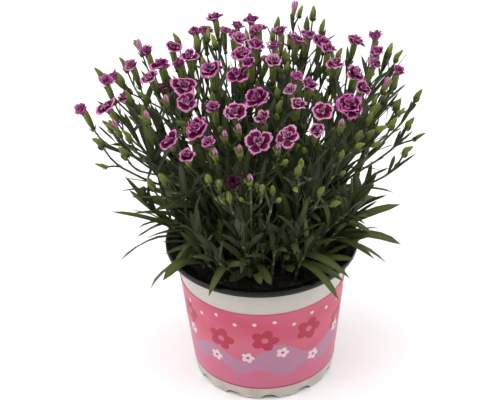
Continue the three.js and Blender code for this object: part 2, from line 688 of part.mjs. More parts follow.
const heads = layHeads();
const flowers = heads.filter((head) => head.open).sort((a, b) => b.radius - a.radius);
const shoots = layShoots(heads);
const own = new Set(flowers.slice(0, BLOOM_NODES));
for (const shoot of shoots) {
  for (const head of shoot.heads) {
    take(ballsOnHead(head), shoot.k, head);
    if (head.open) take(ballsOnPetals(head), own.has(head) ? "petals" : shoot.k, head);
  }
}
shoots.forEach(growStems);
growSkirt(shoots);
shoots.forEach(growTuft);
for (const shoot of shoots) {
  for (const stem of shoot.stems) growLeaves(shoot, stem);
}

place("pot", potSolid(), white);
place("liner", linerSolid(), black);
place("printed_band", bandSolid(), pink);
place("soil", soilSolid(shoots), peat);

for (const shoot of shoots) {
  const pieces = [...shoot.stems.map(stemSolid), ...shoot.leaves.map(leafSolid)];
  for (const head of shoot.heads) {
    if (head.grown && head.open && !own.has(head)) pieces.push(bloomSolid(head, APEX_SUNK));
  }
  place(`shoot_${String(shoot.k + 1).padStart(2, "0")}`, wasm.Manifold.union(pieces), green);
}
for (const [i, head] of [...own].entries()) {
  if (head.grown) place(`bloom_${String(i + 1).padStart(2, "0")}`, bloomSolid(head, APEX_LOOSE), magenta);
}

export default plant;
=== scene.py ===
"""A dianthus in its nursery pot: white pot, printed band, black liner, potting mix, shoots and flowers.

Metres in Blender and millimetres in the plant's layout. +Z is up and -Y is the front.
"""

import functools
import math
from dataclasses import dataclass, field

import bmesh
import bpy
import numpy as np
from bpy.props import FloatProperty, FloatVectorProperty, IntProperty, PointerProperty
from mathutils import Matrix, Vector, noise


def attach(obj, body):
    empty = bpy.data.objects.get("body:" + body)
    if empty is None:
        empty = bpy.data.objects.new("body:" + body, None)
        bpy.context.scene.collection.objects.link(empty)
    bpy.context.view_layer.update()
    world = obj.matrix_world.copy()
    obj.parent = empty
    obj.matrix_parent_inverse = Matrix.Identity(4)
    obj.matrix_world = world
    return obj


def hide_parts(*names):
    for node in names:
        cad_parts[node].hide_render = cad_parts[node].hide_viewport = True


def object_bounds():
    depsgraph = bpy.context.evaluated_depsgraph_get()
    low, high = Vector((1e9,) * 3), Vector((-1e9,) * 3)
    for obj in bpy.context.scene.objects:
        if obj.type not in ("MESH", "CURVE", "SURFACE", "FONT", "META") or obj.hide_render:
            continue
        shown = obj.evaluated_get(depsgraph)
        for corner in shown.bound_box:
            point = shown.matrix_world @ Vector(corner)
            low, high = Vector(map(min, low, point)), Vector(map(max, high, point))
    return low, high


bl_info = {
    "name": "Potted dianthus",
    "version": (1, 0, 0),
    "blender": (4, 5, 0),
    "location": "View3D > Sidebar > Dianthus",
    "description": "Grows a dianthus in its nursery pot round the loaded frame",
    "category": "Object",
}

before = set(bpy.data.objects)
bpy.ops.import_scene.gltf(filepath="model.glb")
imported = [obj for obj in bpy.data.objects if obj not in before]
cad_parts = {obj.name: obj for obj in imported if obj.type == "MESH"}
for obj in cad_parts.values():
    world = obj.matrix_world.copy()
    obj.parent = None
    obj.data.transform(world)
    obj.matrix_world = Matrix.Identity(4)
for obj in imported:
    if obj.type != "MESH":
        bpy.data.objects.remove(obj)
CAD_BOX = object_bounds()

MM = 0.001

# ---------- sizes of the plant, in millimetres ----------
RIM_RADIUS = 65
RIM_TOP = 102
SOIL_LEVEL = 92
SOIL_CROWN = 3
SOIL_BUMP = 1.6
SOIL_RADIUS = 56

SEED = 20
SHOOTS = 18
BLOOM_NODES = 38
FOOT_SPREAD = 42
FOOT_RADIUS = 1.9
TUFT_LEAVES = 2
SKIRT_LEAVES = 46
SKIRT_FRONT = -0.75  # further to the front than this only the leaves over the rim grow
ROOT_DEPTH = 9
STEM_RADIUS = 1.1
NECK_RADIUS = 0.9
CALYX_LENGTH = 13
CALYX_RADIUS = 2.3
BUD_LENGTH = 11
BUD_RADIUS = 2.3
HEAD_GAP = 1.8
MAIN_BENDS = 5
BRANCH_BENDS = 2
FORK_DROP = (30, 80)
PETAL_RISE = 3
LEAF_LENGTH = 42
LEAF_WIDTH = 4.8
RIM_LEAF_WIDTH = 6.4
CLEAR = 1
BALL_STEP = 2.5
STEM_TRIES = 40
GOLDEN_ANGLE = 137.508

# The heads stand on a low dome with a flaring skirt.
CROWN_TOP = 226
CROWN_DROP = 24
CROWN_SIDE = 116
CROWN_FRONT = 84
CROWN_BACK = 112
SKIRT_LOW = 102
SKIRT_HIGH = 200

# The line of sight along which the heads are placed, and along which the camera looks.
SIGHT_TILT = math.radians(32.94)
SIGHT_ROLL = math.radians(-1.66)
SIGHT_REACH = 1106
SIGHT_SPAN = (0.85, 1.2, 0.0005)
AIM = np.array([-7.15, 0, 131.6])

# Flowers: (mm right, mm above, radius, openness, how far it nods to the front).
FLOWERS = [
    (-111, 60, 5.5, 0.5, 0), (-94, 61, 9, 0.9, 0.5), (-96, 78, 6, 0.6, 0), (-78, 89, 6, 0.7, 0),
    (-68, 98, 6, 0.6, 0), (-66, 81, 7.5, 0.9, 0.6), (-59, 90, 8, 0.9, 0.2), (-52, 101, 6.5, 0.8, 0),
    (-41, 95, 7.5, 0.9, 0.3), (-44, 76, 9.5, 1, 0.6), (-43, 65, 8, 1, 0.6), (-29, 114, 6.5, 0.8, 0),
    (-23, 117, 7, 0.9, 0.1), (-13, 114, 6, 0.8, 0.1), (-4, 118, 7, 0.9, 0.1), (-8, 108, 6, 0.8, 0.2),
    (5, 112, 6, 0.7, 0), (-5, 98, 7.5, 0.9, 0.1), (4, 102, 6.5, 0.8, 0.2), (15, 102, 6, 0.8, 0),
    (21, 112, 6.5, 0.8, 0), (31, 106, 8, 0.9, 0.1), (38, 109, 6.5, 0.8, 0), (45, 106, 7.5, 0.9, 0.1),
    (-25, 87, 7.5, 0.8, 0.1), (-5, 84, 10, 1, 0.8), (3, 90, 6, 0.8, 0.3), (13, 91, 6, 0.7, 0.2),
    (4, 66, 9.5, 1, 0.7), (-8, 59, 9, 0.9, 0.5), (-22, 61, 5, 0.5, 0), (9, 52, 6, 0.7, 0.4),
    (27, 73, 5, 0.6, 0.2), (39, 76, 5.5, 0.6, 0.2), (35, 62, 6, 0.8, 0.4), (5, 39, 9.5, 1, 0.9),
    (25, 42, 9, 1, 0.9), (47, 58, 8, 1, 0.8), (45, 48, 6, 0.8, 0.5), (52, 100, 6, 0.8, 0.2),
    (58, 90, 6.5, 0.9, 0.4), (70, 106, 8, 1, 0.2), (84, 108, 6, 0.7, 0), (85, 98, 5.5, 0.7, 0.1),
    (82, 90, 6.5, 0.8, 0.3), (69, 84, 8, 0.9, 0.5), (74, 75, 6.5, 0.8, 0.3), (66, 62, 10.5, 1, 0.9),
    (98, 86, 4.5, 0.5, 0), (-36, 46, 9, 1, 0.7), (-50, 39, 8, 1, 0.8), (-43, 29, 6, 0.8, 0.7),
    (-11, 13, 5.5, 1, 0.6), (-27, 40, 5, 0.7, 0.3),
]

# How pale the petals' edges are, from 0 to 1, where they differ from most. Then the flowers that are faded
# and dark, and those with more petals than most.
PALE = {
    (25, 42): 1, (47, 58): 0.85, (5, 39): 0.6, (35, 62): 0.9, (13, 91): 0.8, (27, 73): 0.9, (45, 48): 0.7,
    (-8, 59): 0.5, (-66, 81): 0.7, (-43, 65): 0.5, (-44, 76): 0.5, (58, 90): 0.6, (69, 84): 0.6, (9, 52): 0.8,
    (66, 62): 0, (-5, 84): 0.05, (4, 66): 0.1, (-59, 90): 0.1, (-36, 46): 0.15, (-50, 39): 0.1, (-11, 13): 0,
}
FADED = {(-11, 13)}
FULL = {(70, 106), (66, 62), (31, 106), (-36, 46), (82, 90), (-5, 98)}

# Buds: (mm right, mm above), and those of them that show colour at the tip.
BUDS = [
    (29, 126), (42, 125), (38, 118), (48, 116), (93, 101), (98, 97), (112, 71), (98, 64), (95, 52), (106, 52),
    (104, 34), (90, 76), (80, 60), (78, 55), (80, 45), (72, 43), (60, 48), (61, 31), (47, 7), (32, 20),
    (34, 25), (15, 8), (8, 9), (-28, 15), (-20, 12), (-14, 3), (-58, 15), (-66, 11), (19, 33), (-23, 29),
    (-19, 40), (-3, 33), (0, 12), (-54, 64), (-7, 45), (-25, 68), (-31, 92), (18, 72), (19, 62), (20, 90),
    (-86, 81), (-73, 101), (-94, 50), (-89, 48), (-100, 39), (-81, 43), (-84, 32), (-68, 54), (-48, 106),
    (-80, 68),
]
COLOURED = {
    (29, 126), (90, 76), (60, 48), (19, 33), (-23, 29), (-19, 40), (-3, 33), (0, 12), (-54, 64), (-7, 45),
    (-73, 101), (-89, 48), (-68, 54),
}

# The long leaves that arch over the rim: (direction from +X, length, rise at the root, droop by the tip).
RIM_LEAVES = [
    (178, 66, 45, 40), (-166, 62, 44, 95), (-155, 58, 42, 98), (-140, 52, 42, 92), (-121, 54, 46, 104),
    (-80, 26, 46, 85), (-76, 30, 58, 60), (-52, 62, 48, 112), (-40, 50, 48, 80), (-24, 56, 44, 88),
    (-4, 62, 42, 80), (8, 66, 48, 45), (18, 62, 44, 58),
]

# ---------- vectors and draws ----------
UP = np.array([0.0, 0.0, 1.0])
FRONT = np.array([0.0, -1.0, 0.0])


def cross(a, b):
    """The cross product of two vectors."""
    return np.array([a[1] * b[2] - a[2] * b[1], a[2] * b[0] - a[0] * b[2], a[0] * b[1] - a[1] * b[0]])


def unit(a):
    """The vector at length 1."""
    return a / math.sqrt(a @ a)


def mix(a, b, t):
    """The point a share t of the way from a to b."""
    return a * (1 - t) + b * t


def toward(degrees):
    """A level direction, in degrees from +X."""
    return np.array([math.cos(math.radians(degrees)), math.sin(math.radians(degrees)), 0.0])


def frame_on(axis):
    """Two directions square to an axis and to each other."""
    side = unit(cross(axis, UP if abs(axis[2]) < 0.9 else np.array([0.0, 1.0, 0.0])))
    return side, cross(side, axis)


def square_to(axis, angle):
    """A direction square to an axis, at an angle round it."""
    side, other = frame_on(axis)
    return side * math.cos(angle) + other * math.sin(angle)


class Draws:
    """A stream of draws from 0 to 1 that is the same on every run."""

    def __init__(self, seed):
        self.state = seed

    def __call__(self):
        self.state = (self.state * 1664525 + 1013904223) & 0xFFFFFFFF
        return self.state / 2**32

    def between(self, low, high):
        """A draw from low to high."""
        return low + (high - low) * self()

    def about(self, most):
        """A draw from a size below zero to the same above it."""
        return self.between(-most, most)


# ---------- layout: heads ----------
@dataclass(eq=False)
class Head:
    """A flower or a bud: its middle, its size, and the stem end below it."""

    key: tuple
    at: np.ndarray
    radius: float
    open: float
    nod: float
    axis: np.ndarray = None
    base: np.ndarray = None
    grown: bool = False


@dataclass(eq=False)
class Stem:
    """A stem's cubic curve, the head it carries, and whether it is its shoot's main stem."""

    curve: list
    head: Head
    main: bool


@dataclass(eq=False)
class Leaf:
    """A leaf's line of nine points, the direction across it and its width."""

    points: np.ndarray
    across: np.ndarray
    width: float


@dataclass(eq=False)
class Shoot:
    """A shoot from one foot in the mix."""

    k: int
    foot: np.ndarray
    heads: list = field(default_factory=list)
    stems: list = field(default_factory=list)
    leaves: list = field(default_factory=list)


TO_EYE = np.array([0.0, -math.cos(SIGHT_TILT), math.sin(SIGHT_TILT)])
SIGHT_UP = np.array([0.0, math.sin(SIGHT_TILT), math.cos(SIGHT_TILT)])
EYE = AIM + TO_EYE * SIGHT_REACH


def crown_share(x, y):
    """The squared distance from the axis, 1 at the crown's edge."""
    return (x / CROWN_SIDE) ** 2 + (y / np.where(y < 0, CROWN_FRONT, CROWN_BACK)) ** 2


def flare_at(height):
    """How far out the skirt stands at a height, from 0.5 at its foot to 1 at its top."""
    return 0.5 + (0.5 * (height - SKIRT_LOW)) / (SKIRT_HIGH - SKIRT_LOW)


def on_crown(right, above):
    """Where the line of sight beside and above AIM first meets the crown, or passes nearest to the dome."""
    c, s = math.cos(SIGHT_ROLL), math.sin(SIGHT_ROLL)
    target = AIM + np.array([c * right - s * above, 0, 0]) + SIGHT_UP * (s * right + c * above)
    points = EYE + np.arange(*SIGHT_SPAN)[:, None] * (target - EYE)
    x, y, z = points.T
    share = crown_share(x, y)
    dome, flare = CROWN_TOP - CROWN_DROP * share, flare_at(z)
    inside = (z < dome) & (flare > 0) & (share < flare**2)
    if inside.any():
        return points[np.argmax(inside)]
    miss = abs(z - dome) + CROWN_SIDE * np.maximum(share - 1, 0) / 2
    return points[np.argmin(miss)]


HEAD_LEAN = 0.4  # how far a head at the crown's edge turns outward
HEAD_NOD = 0.65  # how far a flower that nods turns to the front


def set_head(head):
    """Turns a head up, outward and to the front, and finds the end of the stem below it."""
    outward = np.array([head.at[0] / CROWN_SIDE, head.at[1] / CROWN_BACK, 0])
    head.axis = unit(UP + outward * HEAD_LEAN + FRONT * (HEAD_NOD * head.nod))
    sunk = PETAL_RISE + CALYX_LENGTH if head.open else BUD_LENGTH / 2
    head.base = head.at - head.axis * sunk


def lay_heads():
    """All the heads at their places."""
    heads = [Head((f[0], f[1]), on_crown(f[0], f[1]), f[2], f[3], f[4]) for f in FLOWERS]
    heads += [Head(b, on_crown(*b), BUD_RADIUS, 0, 0) for b in BUDS]
    spread(heads)
    for head in heads:
        set_head(head)
    return heads


SPREAD_ROUNDS = 60
SPREAD_STEP = 0.6  # the share of an overlap that one push takes away


def spread(heads):
    """Pushes heads apart until none crowds another. Heights count half."""
    spots = [[*head.at] for head in heads]
    sizes = [head.radius for head in heads]
    for _ in range(SPREAD_ROUNDS):
        for i, a in enumerate(spots):
            for j in range(i + 1, len(spots)):
                b = spots[j]
                gap = (b[0] - a[0], b[1] - a[1], (b[2] - a[2]) / 2)
                apart = math.sqrt(gap[0] ** 2 + gap[1] ** 2 + gap[2] ** 2)
                short = sizes[i] + sizes[j] + HEAD_GAP - apart
                if short <= 0:
                    continue
                push = (SPREAD_STEP * short) / apart / (sizes[i] + sizes[j])
                for n in range(3):
                    a[n] -= gap[n] * push * sizes[j]
                    b[n] += gap[n] * push * sizes[i]
    for head, spot in zip(heads, spots):
        head.at = np.array(spot)


# ---------- layout: air between pieces ----------
class Air:
    """The room that is taken, as balls that belong to an owner and perhaps to a head."""

    ROOM = 60000
    REACH = 12  # farther than any two balls can touch
    NOWHERE = 1e9
    NOBODY = -9

    def __init__(self):
        self.spots = np.full((self.ROOM, 3), self.NOWHERE)
        self.sizes = np.zeros(self.ROOM)
        self.owners = np.full(self.ROOM, self.NOBODY)
        self.heads = np.zeros(self.ROOM, np.int64)
        self.count = 0

    def take(self, spots, sizes, owner, head=None):
        """Marks balls as taken."""
        rows = slice(self.count, self.count + len(spots))
        self.spots[rows], self.sizes[rows] = spots, sizes
        self.owners[rows], self.heads[rows] = owner, id(head) if head else 0
        self.count += len(spots)

    def is_free(self, spots, sizes, owner=None, head=None, clear=CLEAR):
        """True if balls keep clear of all taken ones, apart from those of the same owner or head."""
        taken = self.spots[: self.count]
        low, high = spots.min(0) - self.REACH, spots.max(0) + self.REACH
        near = ((taken > low) & (taken < high)).all(1)
        if owner is not None:
            near &= self.owners[: self.count] != owner
        if head is not None:
            near &= self.heads[: self.count] != id(head)
        near = np.flatnonzero(near)
        if not len(near):
            return True
        apart = np.sqrt(((spots[:, None] - taken[near]) ** 2).sum(2))
        return bool((apart > np.asarray(sizes)[:, None] + self.sizes[near] + clear).all())


PETALS_OWNER = -1
PETAL_BALLS = 8


def soil_height(x, y):
    """The height of the potting mix."""
    swell = SOIL_CROWN * (1 - (x * x + y * y) / SOIL_RADIUS**2)
    return SOIL_LEVEL + swell + SOIL_BUMP * np.sin(x * 0.31 + 1) * np.sin(y * 0.27 + 2)


def is_above_ground(spots, sizes):
    """True if balls are above the mix and over or outside the rim."""
    x, y, z = spots.T
    out = np.hypot(x, y)
    over_soil = z > soil_height(x, y) + sizes + 1
    over_rim = (z > RIM_TOP + sizes + CLEAR) | (out > RIM_RADIUS + sizes + CLEAR)
    return bool(np.where(out < SOIL_RADIUS, over_soil, over_rim).all())


def balls_on_head(head):
    """Balls along the calyx or the bud."""
    length, radius = (CALYX_LENGTH, CALYX_RADIUS) if head.open else (BUD_LENGTH, BUD_RADIUS)
    spots = np.array([head.base + head.axis * (length * t) for t in (0.15, 0.5, 0.85)])
    return spots, np.full(3, radius)


def balls_on_petals(head):
    """Balls in the middle and round the edge of an open flower."""
    lift = (1 - head.open) * head.radius
    spots, sizes = [head.at + head.axis], [head.radius * 0.4 + 0.6]
    for i in range(PETAL_BALLS):
        out = square_to(head.axis, math.tau * i / PETAL_BALLS)
        spots.append(head.at + out * (head.radius * 0.68) + head.axis * (0.5 + lift))
        sizes.append(head.radius * 0.34)
    return np.array(spots), np.array(sizes)


# ---------- layout: stems ----------
STEM_REACH = 0.36  # of a stem's length, how far its handles reach
FORK_SHARE = 0.75  # of the way between two bends, where a branch leaves
FORK_LEAN = 0.6  # how far a branch leaves towards its head
CROWN_SHIFT = 0.14  # how far the crown's middle stands behind the pattern's


def points_on(curve, t):
    """The points of a cubic curve at shares t."""
    a, b, c, d = curve
    t = np.asarray(t, float)[..., None]
    s = 1 - t
    return a * s**3 + b * (3 * s * s * t) + c * (3 * s * t * t) + d * t**3


def heading_on(curve, t):
    """The direction of a cubic curve at a share t."""
    a, b, c, d = curve
    s = 1 - t
    return unit((b - a) * s * s + (c - b) * 2 * s * t + (d - c) * t * t)


def length_of(curve):
    """The straight length from a curve's start to its end."""
    return math.sqrt(((curve[3] - curve[0]) ** 2).sum())


def balls_on_stem(curve, radius=STEM_RADIUS):
    """Balls all along a stem."""
    count = math.ceil(length_of(curve) / BALL_STEP)
    return points_on(curve, (np.arange(count) + 0.5) / count), np.full(count, radius)


def lay_stem(start, leaving, head, bow):
    """A curve from a start to the end below a head."""
    reach = STEM_REACH * math.sqrt(((head.base - start) ** 2).sum())
    return [start, start + leaving * reach + bow, head.base - head.axis * reach, head.base]


def bends_of(main):
    """The shares at which a stem bends."""
    bends = MAIN_BENDS if main else BRANCH_BENDS
    return [(i + 1) / (bends + 0.5) for i in range(bends)]


def joints_on(stem, share):
    """The places between two bends of a stem where something grows."""
    bends = points_on(stem.curve, [0, *bends_of(stem.main)])
    return [mix(a, b, share) for a, b in zip(bends, bends[1:])]


def shoot_pattern(k, count=SHOOTS):
    """The sunflower pattern of the feet, at radius 1."""
    out = math.sqrt((k + 0.5) / count)
    turn = math.radians(GOLDEN_ANGLE) * k
    return np.array([out * math.cos(turn), out * math.sin(turn), 0.0])


def lay_shoots(heads):
    """The shoots, each with the heads of its part of the crown."""
    shoots = []
    for k in range(SHOOTS):
        x, y, _ = shoot_pattern(k) * FOOT_SPREAD
        shoots.append(Shoot(k, np.array([x, y, soil_height(x, y)])))
    for head in heads:
        nearest_in_crown(shoots, head.at).heads.append(head)
    return shoots


def nearest_in_crown(shoots, at):
    """The shoot whose part of the crown holds a place."""
    spot = (at[0] / CROWN_SIDE, (2 * at[1]) / (CROWN_FRONT + CROWN_BACK) - CROWN_SHIFT)
    return min(shoots, key=lambda shoot: math.dist(spot, shoot_pattern(shoot.k)[:2]))


def fork_near(main, level):
    """The place on a main stem, between two bends, that is nearest to a level."""
    return min(joints_on(main, FORK_SHARE), key=lambda joint: abs(joint[2] - level))


def fork_way(start, head):
    """The direction of a branch where it leaves for its head."""
    return unit(mix(UP, unit(head.base - start), FORK_LEAN))


def grow_stems(shoot, air, draw):
    """The tallest head of a shoot ends its main stem. The others branch off the main stem below them."""
    for head in sorted(shoot.heads, key=lambda head: -head.base[2]):
        stem = find_stem(shoot, head, air, draw)
        if not stem:
            continue
        head.grown = True
        shoot.stems.append(stem)
        air.take(*balls_on_stem(stem.curve), shoot.k, head)


def find_stem(shoot, head, air, draw):
    """A free stem for a head, or nothing."""
    main = shoot.stems[0] if shoot.stems else None
    for attempt in range(STEM_TRIES):
        wander = 2 + attempt * 0.4
        bow = np.array([draw.about(wander), draw.about(wander), 0])
        drop = draw.between(FORK_DROP[0], FORK_DROP[1] + attempt)
        start, leaving = shoot.foot, UP
        if main:
            start = fork_near(main, head.base[2] - drop)
            leaving = fork_way(start, head)
        curve = lay_stem(start, leaving, head, bow)
        if air.is_free(*balls_on_stem(curve), shoot.k, head):
            return Stem(curve, head, main is None)
    return None


# ---------- layout: leaves ----------
LEAF_STEPS = 8
STEEPER = (0, 10, 20)
TURNS = (0, 30, -30, 60, -60)
TUFT_TURNS = (0, 30, -30)
SKIRT_TURNS = (0, 6, -6, 12, -12, 20, -20)


def lay_leaf(root, heading, length, width, rise, droop):
    """A leaf that leaves its root at an angle above the horizon and bends down evenly."""
    points = [root]
    for i in range(LEAF_STEPS):
        pitch = math.radians(rise - (droop * (i + 0.5)) / LEAF_STEPS)
        points.append(points[-1] + (heading * math.cos(pitch) + UP * math.sin(pitch)) * (length / LEAF_STEPS))
    return Leaf(np.array(points), cross(heading, UP), width)


def balls_on_leaf(leaf):
    """Balls along a leaf, from past its root to its tip."""
    return leaf.points[2:], np.array([leaf.width * 0.4] * (LEAF_STEPS - 2) + [leaf.width * 0.2])


def plant_leaf(shoot, air, root, direction, length, width, rise, droop, turns):
    """Grows a leaf in the first free turn and steepness."""
    for steeper in STEEPER:
        for aside in turns:
            leaf = lay_leaf(root, toward(direction + aside), length, width, rise + steeper, droop)
            spots, sizes = balls_on_leaf(leaf)
            if not is_above_ground(spots, sizes):
                continue
            if not air.is_free(spots, sizes, shoot.k) or not air.is_free(spots[2:], sizes[2:]):
                continue
            air.take(spots, sizes, shoot.k)
            shoot.leaves.append(leaf)
            return


# Kinds of leaves: lengths and width as shares of the usual ones, rises and droops.
SKIRT_KIND = ((0.95, 1.4), 1.15, (36, 62), (20, 80))
TUFT_KIND = ((1, 1.3), 1.1, (62, 76), (20, 60))
STEM_KIND = ((0.85, 1.15), 1, (58, 74), (10, 46))


def draw_leaf(kind, draw):
    """The length, width, rise and droop of a leaf of a kind."""
    lengths, width, rises, droops = kind
    length = LEAF_LENGTH * draw.between(*lengths)
    return length, LEAF_WIDTH * width, draw.between(*rises), draw.between(*droops)


def nearest_foot(shoots, spot):
    """The shoot whose foot is nearest to a spot."""
    return min(shoots, key=lambda shoot: math.hypot(shoot.foot[0] - spot[0], shoot.foot[1] - spot[1]))


def grow_skirt(shoots, air, draw):
    """Long leaves all round the lower part of the plant."""
    for direction, length, rise, droop in RIM_LEAVES:
        shoot = nearest_foot(shoots, toward(direction) * FOOT_SPREAD)
        root = mix(*joints_on(shoot.stems[0], 0)[:2], 0.15)
        plant_leaf(shoot, air, root, direction, length, RIM_LEAF_WIDTH, rise, droop, SKIRT_TURNS)
    for i in range(SKIRT_LEAVES):
        direction = GOLDEN_ANGLE * i
        if toward(direction)[1] < SKIRT_FRONT:
            continue
        shoot = nearest_foot(shoots, toward(direction) * (FOOT_SPREAD * draw.between(0.6, 1)))
        root = joints_on(shoot.stems[0], draw.between(0.2, 0.8))[i % 2]
        plant_leaf(shoot, air, root, direction, *draw_leaf(SKIRT_KIND, draw), SKIRT_TURNS)


def grow_tuft(shoot, air, draw):
    """Steep leaves round the foot of a shoot."""
    root = mix(*joints_on(shoot.stems[0], 0)[:2], 0.3)
    start = draw.between(0, 360)
    for i in range(TUFT_LEAVES):
        direction = start + (360 * i) / TUFT_LEAVES
        plant_leaf(shoot, air, root, direction, *draw_leaf(TUFT_KIND, draw), TUFT_TURNS)


def height_share(z):
    """How far up the plant a height is, from 0 at the mix to 1 at the crown."""
    return (z - SOIL_LEVEL) / (CROWN_TOP - SOIL_LEVEL)


def grow_leaves(shoot, stem, air, draw):
    """Pairs of leaves up a stem, each turned a quarter from the one below, shorter near the head."""
    start = draw.between(0, 360)
    for i, root in enumerate(joints_on(stem, 0.4)[1:]):
        share = height_share(root[2])
        for half in (0, 180) if stem.main else (0,):
            length, width, rise, droop = draw_leaf(STEM_KIND, draw)
            length, width = length * (1.15 - 0.65 * share), width * (1.05 - 0.35 * share)
            plant_leaf(shoot, air, root, start + 90 * i + half, length, width, rise, droop, TURNS)


@functools.cache
def plant_layout():
    """The whole plant: heads, the flowers that are pieces of their own, and shoots."""
    draw, air, heads = Draws(SEED), Air(), lay_heads()
    flowers = sorted((head for head in heads if head.open), key=lambda head: -head.radius)
    shoots = lay_shoots(heads)
    own = flowers[:BLOOM_NODES]
    for shoot in shoots:
        for head in shoot.heads:
            air.take(*balls_on_head(head), shoot.k, head)
            if head.open:
                air.take(*balls_on_petals(head), PETALS_OWNER if head in own else shoot.k, head)
    for shoot in shoots:
        grow_stems(shoot, air, draw)
    grow_skirt(shoots, air, draw)
    for shoot in shoots:
        grow_tuft(shoot, air, draw)
    for shoot in shoots:
        for stem in shoot.stems:
            grow_leaves(shoot, stem, air, draw)
    return heads, own, shoots


# ---------- modelling tools ----------
def pick(test):
    """In edit mode, selects the points that pass a test, and nothing else."""
    mesh = bpy.context.active_object.data
    bpy.ops.mesh.select_all(action="DESELECT")
    points = bmesh.from_edit_mesh(mesh)
    grain = points.verts.layers.float_vector.get("grain")
    for point in points.verts:
        point.select_set(test(point.co, point[grain] if grain else None))
    points.select_flush(True)
    bmesh.update_edit_mesh(mesh)


def edit(mode="EDIT"):
    """Goes into edit mode, or back to object mode."""
    bpy.ops.object.mode_set(mode=mode)


def take_up(*objects):
    """Selects these objects and nothing else, and makes the last of them the active one."""
    bpy.ops.object.select_all(action="DESELECT")
    for obj in objects:
        obj.select_set(True)
        bpy.context.view_layer.objects.active = obj


def shift(x=0.0, y=0.0, z=0.0):
    """In edit mode, moves what is selected."""
    bpy.ops.transform.translate(value=(x, y, z))


def stretch(x, y, z):
    """In edit mode, scales what is selected about the origin."""
    bpy.ops.transform.resize(value=(x, y, z), center_override=(0, 0, 0))


def apply_modifier(obj, kind, **settings):
    """Adds a modifier to an object and applies it."""
    take_up(obj)
    modifier = obj.modifiers.new(kind.title(), kind)
    for key, value in settings.items():
        setattr(modifier, key, value)
    bpy.ops.object.modifier_apply(modifier=modifier.name)


def turn(profile, sides):
    """Turns (radius, height) pairs round the Z axis, ring by ring. A radius of 0 at an end is a pole, and a
    profile that ends where it starts is closed."""
    take_up()
    poled = profile[0][0] == 0
    radius, height = profile[1] if poled else profile[0]
    fill = "TRIFAN" if poled else "NOTHING"
    bpy.ops.mesh.primitive_circle_add(vertices=sides, radius=radius, location=(0, 0, 0), fill_type=fill)
    turned = bpy.context.active_object
    edit()
    bpy.ops.mesh.select_all(action="SELECT")
    shift(z=height)
    if poled:
        pick(lambda at, _: at.xy.length < radius / 2)
        shift(z=profile[0][1] - height)
        pick(lambda at, _: at.xy.length > radius / 2)
    for next_radius, next_height in profile[2 if poled else 1 :]:
        bpy.ops.mesh.extrude_region_move(TRANSFORM_OT_translate={"value": (0, 0, next_height - height)})
        if next_radius == 0:
            bpy.ops.mesh.merge(type="CENTER")
            break
        stretch(next_radius / radius, next_radius / radius, 1)
        radius, height = next_radius, next_height
    bpy.ops.mesh.select_all(action="SELECT")
    if profile[0] == profile[-1]:
        bpy.ops.mesh.remove_doubles(threshold=1e-6)
    bpy.ops.mesh.normals_make_consistent(inside=False)
    edit("OBJECT")
    return turned


def slab(columns, rows, thick):
    """A flat closed slab, 1 wide and 1 long, whose two faces meet at its edges. The attribute grain keeps a
    point's place across, from -1 to 1, and along, from 0 to 1, and 1 on the upper face or -1 on the lower."""
    take_up()
    bpy.ops.mesh.primitive_grid_add(x_subdivisions=columns, y_subdivisions=rows, size=1, location=(0, 0, 0))
    flat = bpy.context.active_object
    grain = flat.data.attributes.new("grain", "FLOAT_VECTOR", "POINT")
    for point, mark in zip(flat.data.vertices, grain.data):
        mark.vector = (2 * point.co.x, point.co.y + 0.5, 0)
    apply_modifier(flat, "SOLIDIFY", thickness=thick, offset=0)
    for point, mark in zip(flat.data.vertices, flat.data.attributes["grain"].data):
        mark.vector.z = math.copysign(1, point.co.z)
    edit()
    pick(lambda _, mark: abs(mark.x) > 0.999 or abs(mark.y - 0.5) > 0.499)
    bpy.ops.mesh.remove_doubles(threshold=1.1 * thick)
    return flat


def shape_rows(widths):
    """In edit mode, gives each row of a slab its width. A last width of 0 is a point."""
    last = len(widths) - 1
    for i, width in enumerate(widths):
        pick(lambda _, mark, i=i: abs(mark.y * last - i) < 0.01)
        stretch(width, 1, 1 if width else 0)
    bpy.ops.mesh.select_all(action="SELECT")
    bpy.ops.mesh.remove_doubles(threshold=1e-5)


@dataclass
class Shape:
    """A modelled shape that is copied many times: its points as across, through and along, its faces, and its
    grain."""

    points: np.ndarray
    corners: np.ndarray
    sizes: np.ndarray
    grain: np.ndarray


def take_shape(obj):
    """Takes the shape of a modelled object, which isn't needed after that."""
    edit("OBJECT")
    mesh = obj.data
    points = np.zeros(3 * len(mesh.vertices))
    mesh.vertices.foreach_get("co", points)
    points = points.reshape(-1, 3)
    corners = np.zeros(len(mesh.loops), np.int32)
    mesh.loops.foreach_get("vertex_index", corners)
    sizes = np.array([face.loop_total for face in mesh.polygons], np.int32)
    corners, sizes = split_at_tips(corners, sizes)
    grain = mesh.attributes.get("grain")
    if grain:
        marks = np.zeros(points.size)
        grain.data.foreach_get("vector", marks)
        marks = marks.reshape(-1, 3)
        points = np.stack([points[:, 0], -points[:, 2], points[:, 1] + 0.5], 1)
    else:
        around = np.arctan2(points[:, 1], points[:, 0]) / math.pi
        marks = np.stack([around, points[:, 2], np.ones(len(points))], 1)
    bpy.data.objects.remove(obj)
    bpy.data.meshes.remove(mesh)
    return Shape(points, corners, sizes, marks)


def split_at_tips(corners, sizes):
    """Splits the faces of four at a point that only two faces hold, from that point. Split the other way, the
    outer halves of the two would lie on each other."""
    held, faces = np.bincount(corners), []
    for face in np.split(corners, np.cumsum(sizes)[:-1]):
        if len(face) == 4 and held[face].min() == 2:
            a, b, c, d = np.roll(face, -held[face].argmin())
            faces += [(a, b, c), (a, c, d)]
        else:
            faces.append(face)
    return np.concatenate(faces), np.array([len(face) for face in faces], np.int32)


